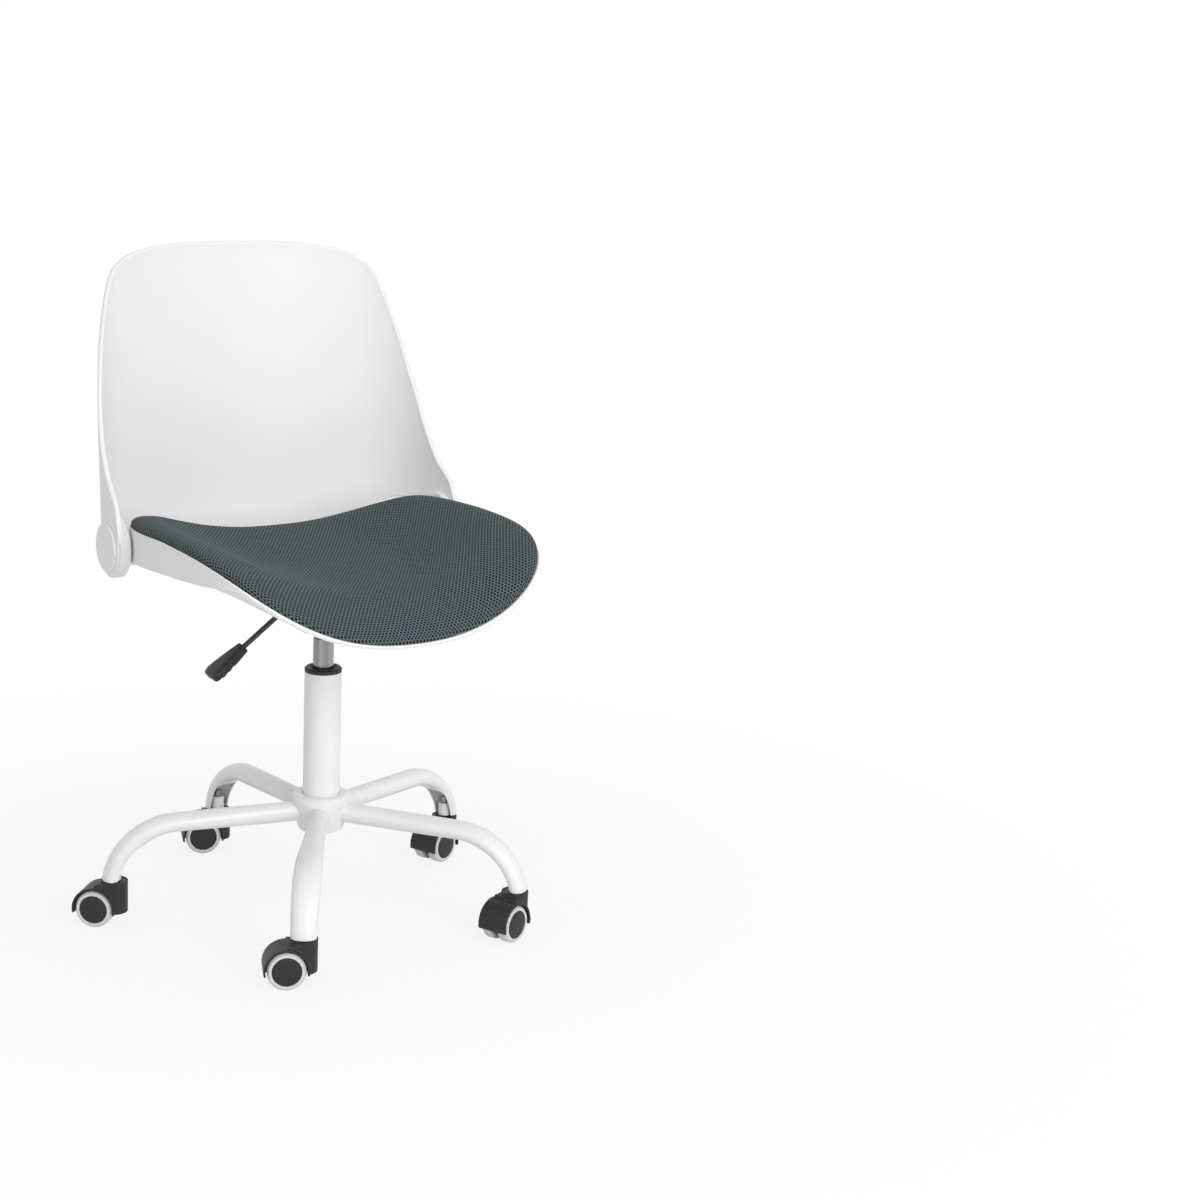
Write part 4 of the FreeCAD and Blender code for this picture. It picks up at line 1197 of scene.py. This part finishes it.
@dataclass
class Back:
    """The wrapped back: one thin sheet with rolled edges, two hinge bosses and their caps."""

    maker: Maker
    aft: float = 285.0
    low: float = 466.0
    high: float = 879.0
    lean: float = 4.0
    wall: float = 6.0
    lip: float = 1.0
    arc: float = 430.0
    arc_turn: float = 25.0
    corner: float = 115.0
    corner_turn: float = 84.0
    half: float = SEAT_HALF
    hinge_aft: float = HINGE_AFT
    hinge_high: float = HINGE_HIGH
    boss: float = 40.5
    boss_inner: float = 236.8
    boss_outer: float = 254.0
    cap: float = 32.0
    cap_thick: float = 4.0
    neck: Sequence[Pair] = ((-0.97, 0.25), (-0.8, 0.9), (-0.42, 1.55))
    front: Sequence[Pair] = ((0.05, 0.215), (0.24, 0.31), (0.43, 0.463), (0.64, 0.69), (0.74, 1.05))
    under: Sequence[Pair] = ((0.36, 0.52), (0.55, 0.47), (0.74, 0.084), (0.87, -0.338))
    top_corner: Sequence[Pair] = (
        (0.0, 0.0), (0.34, 1.2), (0.57, 6.5), (0.745, 19.0), (0.85, 43.0), (0.905, 80.0), (0.955, 125.0),
    )
    skirt: float = 0.8
    columns: int = 75
    rows: int = 30
    edge_row: float = 3.0
    edge_steepest: float = 3.0
    edge_most: float = 0.12
    second_row: float = 2.4
    lip_reach: float = 9.0
    pin_hole: float = 9.5

    def plan(self, run: float) -> tuple[float, float, float]:
        """Give the outer skin in plan at a run from the middle: X, the drop forwards, and the normal's angle.

        Args:
            run: Length along the skin towards the sitter's left.

        Returns:
            X, drop and angle.
        """
        first = math.radians(self.arc_turn)
        last = math.radians(self.corner_turn)
        angle = run / self.arc
        if angle <= first:
            return self.arc * math.sin(angle), self.arc * (1 - math.cos(angle)), angle
        offset = self.arc - self.corner
        middle_x = offset * math.sin(first)
        middle_drop = self.arc - offset * math.cos(first)
        angle = first + (run - self.arc * first) / self.corner
        spare = (angle - last) * self.corner
        angle = min(angle, last)
        across = middle_x + self.corner * math.sin(angle)
        drop = middle_drop - self.corner * math.cos(angle)
        if spare > 0:
            across += spare * math.cos(last)
            drop += spare * math.sin(last)
        return across, drop, angle

    def front_edge(self, heights: np.ndarray) -> np.ndarray:
        """Give how far aft the side's front edge is at heights."""
        reach = self.aft - self.hinge_aft
        rise = self.high - self.hinge_high
        spots = [(along * self.boss, up * self.boss) for along, up in self.neck]
        spots += [(along * reach, up * rise) for along, up in self.front]
        reaches, rises = zip(*spots)
        return self.hinge_aft + eased(heights - self.hinge_high, rises, reaches)

    def lower_edge(self, places: np.ndarray) -> np.ndarray:
        """Give the height of the lower edge at places along Y."""
        reach = self.aft - self.hinge_aft
        first, rise = self.neck[0]
        stops = [first * self.boss, self.boss / 2] + [along * reach for along, _ in self.under]
        stops += [reach, 2 * reach]
        ups = [rise * self.boss, self.boss / 2] + [up * self.boss for _, up in self.under]
        ups += [self.low - self.hinge_high] * 2
        return self.hinge_high + eased(places - self.hinge_aft, stops, ups)

    def upper_edge(self, across: float) -> float:
        """Give the height of the top edge at a place along X."""
        stops = [share * self.half for share, _ in self.top_corner]
        drops = [drop for _, drop in self.top_corner]
        away = abs(across)
        if away > stops[-1]:
            spare = (away - stops[-1]) * self.skirt * self.half / (2 * self.half - stops[-1])
            return self.high - drops[-1] - spare
        return self.high - eased_at(away, stops, drops)

    def span(self, run: float) -> tuple[float, float] | None:
        """Give the lowest and highest point of the sheet at a run from the middle, or None outside it."""
        across, drop, _ = self.plan(run)
        heights = np.linspace(self.low - 5, self.high + 2, 2400)
        places = self.aft + math.tan(math.radians(self.lean)) * (heights - self.low) - drop
        inside = (heights >= self.lower_edge(places)) & (heights <= self.upper_edge(across))
        inside &= places >= self.front_edge(heights)
        if not inside.any():
            return None
        return float(heights[inside].min()), float(heights[inside].max())

    def runs(self) -> list[float]:
        """List the columns' runs, evenly from the middle to the arm's end."""
        longest = 0.0
        while self.span(longest + 1.0) is not None:
            longest += 1.0
        return [longest * step / self.columns for step in range(self.columns + 1)]

    def margin(self, slope: float, tall: float) -> float:
        """Give how far the first row lies inside an edge, further where the edge runs steeply."""
        steep = math.hypot(1, min(abs(slope), self.edge_steepest))
        return min(self.edge_row * steep, self.edge_most * tall)

    def sheet_rows(self) -> tuple[np.ndarray, np.ndarray]:
        """Lay the outer and the inner skin as columns from one arm to the other.

        Returns:
            The two skins' points, by column and row.
        """
        runs = self.runs()
        spans = np.array([self.span(run) for run in runs])
        slope_low = np.gradient(spans[:, 0], runs)
        slope_high = np.gradient(spans[:, 1], runs)
        lean = math.tan(math.radians(self.lean))
        outer, inner = [], []
        for index, run in enumerate(runs):
            low, high = spans[index]
            first = self.margin(slope_low[index], high - low)
            last = self.margin(slope_high[index], high - low)
            middle = np.linspace(low + self.second_row * first, high - self.second_row * last, self.rows)
            levels = np.concatenate(([low, low + first], middle, [high - last, high]))
            across, drop, angle = self.plan(run)
            edge = np.minimum(levels - low, high - levels)
            thick = self.wall + self.lip * np.exp(-((edge / self.lip_reach) ** 2))
            aft = self.aft + lean * (levels - self.low) - drop
            outer.append(np.stack((np.full_like(levels, across), aft, levels), 1))
            inside = (across - thick * math.sin(angle), aft - thick * math.cos(angle), levels)
            inner.append(np.stack(inside, 1))
        mirror = np.array((-1.0, 1.0, 1.0))
        left = [line * mirror for line in outer[:0:-1]], [line * mirror for line in inner[:0:-1]]
        return np.array(left[0] + outer), np.array(left[1] + inner)

    def make_sheet(self) -> None:
        """Make the sheet with its rolled rim."""
        outer, inner = self.sheet_rows()
        loops = np.concatenate((outer, inner[:, ::-1]), axis=1)
        sheet = Shape("back_sheet").grid(loops, False, True)
        count, wide = loops.shape[:2]
        for column in (0, count - 1):
            start = column * wide
            half = wide // 2
            for row in range(half - 1):
                corners = (start + row, start + row + 1, start + wide - 2 - row, start + wide - 1 - row)
                sheet.faces.append(corners)
        piece = refined(sheet.build())
        self.maker.keep(piece, Slot.SHELL, "back", "back_shell")

    def make_bosses(self) -> None:
        """Make the two round bosses and the flat caps over the hinge pins."""
        bosses = Shape("hinge_bosses")
        caps = Shape("hinge_cap_discs")
        foot, face = self.boss_inner, self.boss_outer
        step, lid = face - 2.5, face + self.cap_thick
        boss = (
            (self.pin_hole, foot), (self.boss, foot), (self.boss, step),
            (self.cap + 3.4, step), (self.cap + 2.4, face), (self.pin_hole, face),
        )
        cap = ((0.02, face), (self.cap, face), (self.cap, lid), (0.02, lid))
        for side in Side:
            place = along_x(side, self.hinge_aft, self.hinge_high)
            bosses.turned(softened(boss, 2.4), place, 96)
            caps.turned(softened(cap, 1.4), place, 96)
        self.maker.keep(bosses.build(), Slot.SHELL, "back")
        self.maker.keep(caps.build(), Slot.SHELL, "back", "hinge_caps")

    def make(self) -> None:
        """Make every piece of the back."""
        self.make_sheet()
        self.make_bosses()


@dataclass
class Caster:
    """One twin-wheel caster: hood, wheel discs and tread rings."""

    maker: Maker
    number: int
    leg_angle: float
    trail_angle: float
    stem_circle: float = STEM_CIRCLE
    trail: float = 22.0
    axle_high: float = 25.0
    web: float = 9.0
    gap: float = 0.8
    voxel: float = 0.95
    disc: Sequence[Pair] = ((3.05, 0.0), (18.6, 0.0), (18.6, 15.0), (17.6, 16.0), (12.0, 16.7), (3.05, 17.0))
    button: Sequence[Pair] = ((0.02, 15.2), (4.6, 15.2), (4.6, 17.0), (0.02, 17.1))
    tread: Sequence[Pair] = (
        (19.0, 0.0), (23.8, 0.0), (25.0, 1.4), (25.0, 12.6), (22.4, 15.8), (19.4, 15.8), (19.0, 15.2),
    )
    neck_lip: Sequence[Pair] = ((14.6, 57.0), (18.1, 57.0), (18.1, 62.4), (16.4, 62.4), (15.2, 60.6))

    def stem(self) -> Vector:
        """Give the stem's foot on the floor."""
        angle = math.radians(self.leg_angle)
        return Vector((self.stem_circle * math.cos(angle), self.stem_circle * math.sin(angle), 0.0))

    def wheel_place(self, flip: int) -> Matrix:
        """Give the place that takes the Z axis out along the axle to one side.

        Args:
            flip: 1 for wheel a and -1 for wheel b.

        Returns:
            The place.
        """
        turn = Matrix.Rotation(math.radians(self.trail_angle), 4, "Z")
        hub = Matrix.Translation((self.trail, flip * (0.5 * self.web + self.gap), self.axle_high))
        axle = Matrix.Rotation(math.radians(-90 * flip), 4, "X")
        return Matrix.Translation(self.stem()) @ turn @ hub @ axle

    def make_hood(self) -> None:
        """Make the hood: the CAD hood with its corners melted round, and a lip round the neck."""
        node = f"caster_{self.number}_hood"
        mesh = self.maker.frame["nodes"][node].data.copy()
        mesh.materials.clear()
        work = bmesh.new()
        work.from_mesh(mesh)
        bmesh.ops.remove_doubles(work, verts=work.verts, dist=0.00002)
        work.to_mesh(mesh)
        work.free()
        hood = bpy.data.objects.new(f"hood_{self.number}", mesh)
        bpy.context.scene.collection.objects.link(hood)
        melt = hood.modifiers.new("melt", "REMESH")
        melt.mode = "VOXEL"
        melt.voxel_size = self.voxel * MM
        smooth = hood.modifiers.new("smooth", "SMOOTH")
        smooth.factor = 0.5
        smooth.iterations = 6
        settled(hood)
        self.maker.keep(hood, Slot.NYLON, f"caster_{self.number}", node)
        lip = Shape(f"hood_lip_{self.number}")
        place = Matrix.Translation(self.stem())
        lip.turned(softened(self.neck_lip, 0.6), place, 56)
        self.maker.keep(lip.build(), Slot.NYLON, f"caster_{self.number}")

    def make_wheels(self) -> None:
        """Make both wheels: a dark disc and the pale tread round it."""
        for letter, flip in (("a", 1), ("b", -1)):
            place = self.wheel_place(flip)
            body = f"caster_{self.number}_wheel_{letter}"
            disc = Shape(f"wheel_disc_{self.number}_{letter}").turned(softened(self.disc, 0.7), place, 72)
            disc.turned(softened(self.button, 0.4), place, 40)
            self.maker.keep(disc.build(), Slot.NYLON, body, body)
            ring = Shape(f"wheel_tread_{self.number}_{letter}").turned(softened(self.tread, 0.8), place, 96)
            self.maker.keep(ring.build(), Slot.TREAD, body, f"caster_{self.number}_tread_{letter}")

    def make(self) -> None:
        """Make the hood and the wheels."""
        self.make_hood()
        self.make_wheels()


@dataclass
class Studio:
    """A pale floor, soft lights and the camera at the photograph's place."""

    target: tuple[float, float, float] = (330.1, -166.2, 439.4)
    azimuth: float = -33.22
    elevation: float = 13.36
    distance: float = 3346.7
    lens: float = 74.4
    roll: float = 2.48
    ambient: float = 0.5
    floor_reach: float = 30000.0
    floor_colour: float = 0.8
    floor_glow: Pair = (0.84, 1.0)
    floor_fade: Pair = (0.35, 1.3)
    aim: tuple[float, float, float] = (0.0, 0.0, 0.45)
    lights: Sequence[tuple[str, tuple[float, float, float], float, float]] = (
        ("key", (0.4, -3.3, 1.6), 2.4, 68.0),
        ("fill", (-2.6, -1.6, 1.6), 2.4, 14.0),
        ("rim", (3.0, -0.6, 1.8), 2.4, 5.0),
        ("top", (0.2, 0.3, 3.2), 2.6, 15.0),
    )

    def place_camera(self) -> None:
        """Set the camera where the photograph was taken from."""
        turn, rise = math.radians(self.azimuth), math.radians(self.elevation)
        back = Vector((math.sin(turn) * math.cos(rise), -math.cos(turn) * math.cos(rise), math.sin(rise)))
        data = bpy.data.cameras.new("camera")
        data.sensor_width = 36.0
        data.lens = self.lens
        camera = bpy.data.objects.new("camera", data)
        camera.location = (Vector(self.target) + back * self.distance) * MM
        camera.rotation_mode = "QUATERNION"
        level = (-back).to_track_quat("-Z", "Y")
        camera.rotation_quaternion = level @ Quaternion((0, 0, 1), math.radians(self.roll))
        bpy.context.scene.collection.objects.link(camera)
        bpy.context.scene.camera = camera

    def place_lights(self) -> None:
        """Hang the soft boxes, each facing the chair."""
        for name, place, size, power in self.lights:
            data = bpy.data.lights.new(name, "AREA")
            data.size = size
            data.energy = power
            lamp = bpy.data.objects.new(name, data)
            lamp.location = place
            ahead = Vector(self.aim) - lamp.location
            lamp.rotation_mode = "QUATERNION"
            lamp.rotation_quaternion = ahead.to_track_quat("-Z", "Y")
            bpy.context.scene.collection.objects.link(lamp)

    def seen(self, tree: bpy.types.NodeTree) -> bpy.types.NodeSocket:
        """Give 1 for rays that show the background: straight, mirrored or let through."""
        path = add_node(tree, "ShaderNodeLightPath").outputs
        total = path["Is Camera Ray"]
        for name in ("Is Glossy Ray", "Is Transmission Ray"):
            most = add_node(tree, "ShaderNodeMath", {"operation": "MAXIMUM"}, {0: total, 1: path[name]})
            total = most.outputs[0]
        return total

    def blend(self, owner: bpy.types.ID, share: Any, shaders: Sequence[bpy.types.Node], end: str) -> None:
        """End a tree with a mix of two shaders.

        Args:
            owner: The world or material.
            share: How much of the second shader shows.
            shaders: The two shaders.
            end: The type of the output node.
        """
        first, second = (shader.outputs[0] for shader in shaders)
        mixed = add_node(owner.node_tree, "ShaderNodeMixShader", {}, {0: share, 1: first, 2: second})
        add_node(owner.node_tree, end, {}, {0: mixed.outputs[0]})

    def make_world(self) -> None:
        """Make a white surround that lights the chair softly."""
        world = bpy.data.worlds.new("studio")
        world.use_nodes = True
        tree = world.node_tree
        tree.nodes.clear()
        white = {"Color": (1.0, 1.0, 1.0, 1.0)}
        soft = add_node(tree, "ShaderNodeBackground", {}, white | {"Strength": self.ambient})
        bright = add_node(tree, "ShaderNodeBackground", {}, white)
        self.blend(world, self.seen(tree), (soft, bright), "ShaderNodeOutputWorld")
        bpy.context.scene.world = world

    def make_floor(self) -> None:
        """Lay the pale floor, white to the camera but for the chair's soft shadow."""
        ends = (-self.floor_reach, self.floor_reach)
        corners = np.array([[(across, along, 0.0) for across in ends] for along in ends])
        floor = Shape("floor").grid(corners).build(False)
        material = bpy.data.materials.new("floor")
        material.use_nodes = True
        tree = material.node_tree
        tree.nodes.clear()
        matt = add_node(tree, "ShaderNodeBsdfDiffuse", {}, {"Color": (*[self.floor_colour] * 3, 1.0)})
        glow = add_node(tree, "ShaderNodeEmission")
        place = add_node(tree, "ShaderNodeTexCoord")
        away = add_node(tree, "ShaderNodeVectorMath", {"operation": "LENGTH"}, {0: place.outputs["Object"]})
        limits = dict(zip(("From Min", "From Max", "To Min", "To Max"), self.floor_fade + self.floor_glow))
        easing = {"interpolation_type": "SMOOTHSTEP"}
        fade = add_node(tree, "ShaderNodeMapRange", easing, {"Value": away.outputs["Value"], **limits})
        shares = {0: self.seen(tree), 1: fade.outputs[0]}
        part = add_node(tree, "ShaderNodeMath", {"operation": "MULTIPLY"}, shares)
        self.blend(material, part.outputs[0], (matt, glow), "ShaderNodeOutputMaterial")
        floor.data.materials.append(material)

    def make(self) -> None:
        """Set up the whole studio."""
        bpy.context.scene.view_settings.view_transform = "Standard"
        self.make_world()
        self.make_floor()
        self.place_lights()
        self.place_camera()


def main() -> None:
    """Build the chair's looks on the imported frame, light them and report each piece."""
    logging.basicConfig(level=logging.INFO, format="%(message)s")
    for old in list(bpy.data.objects):
        bpy.data.objects.remove(old)
    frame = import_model()
    maker = Maker(frame, Palette())
    maker.dress_nodes()
    base = Base(maker)
    base.make()
    GasLift(maker).make()
    Lever(maker).make()
    Seat(maker).make()
    Back(maker).make()
    for index, trail in enumerate(CASTER_TRAILS):
        Caster(maker, index + 1, base.first_leg + 360.0 * index / base.leg_count, trail).make()
    Studio().make()


if __name__ == "__main__":
    main()
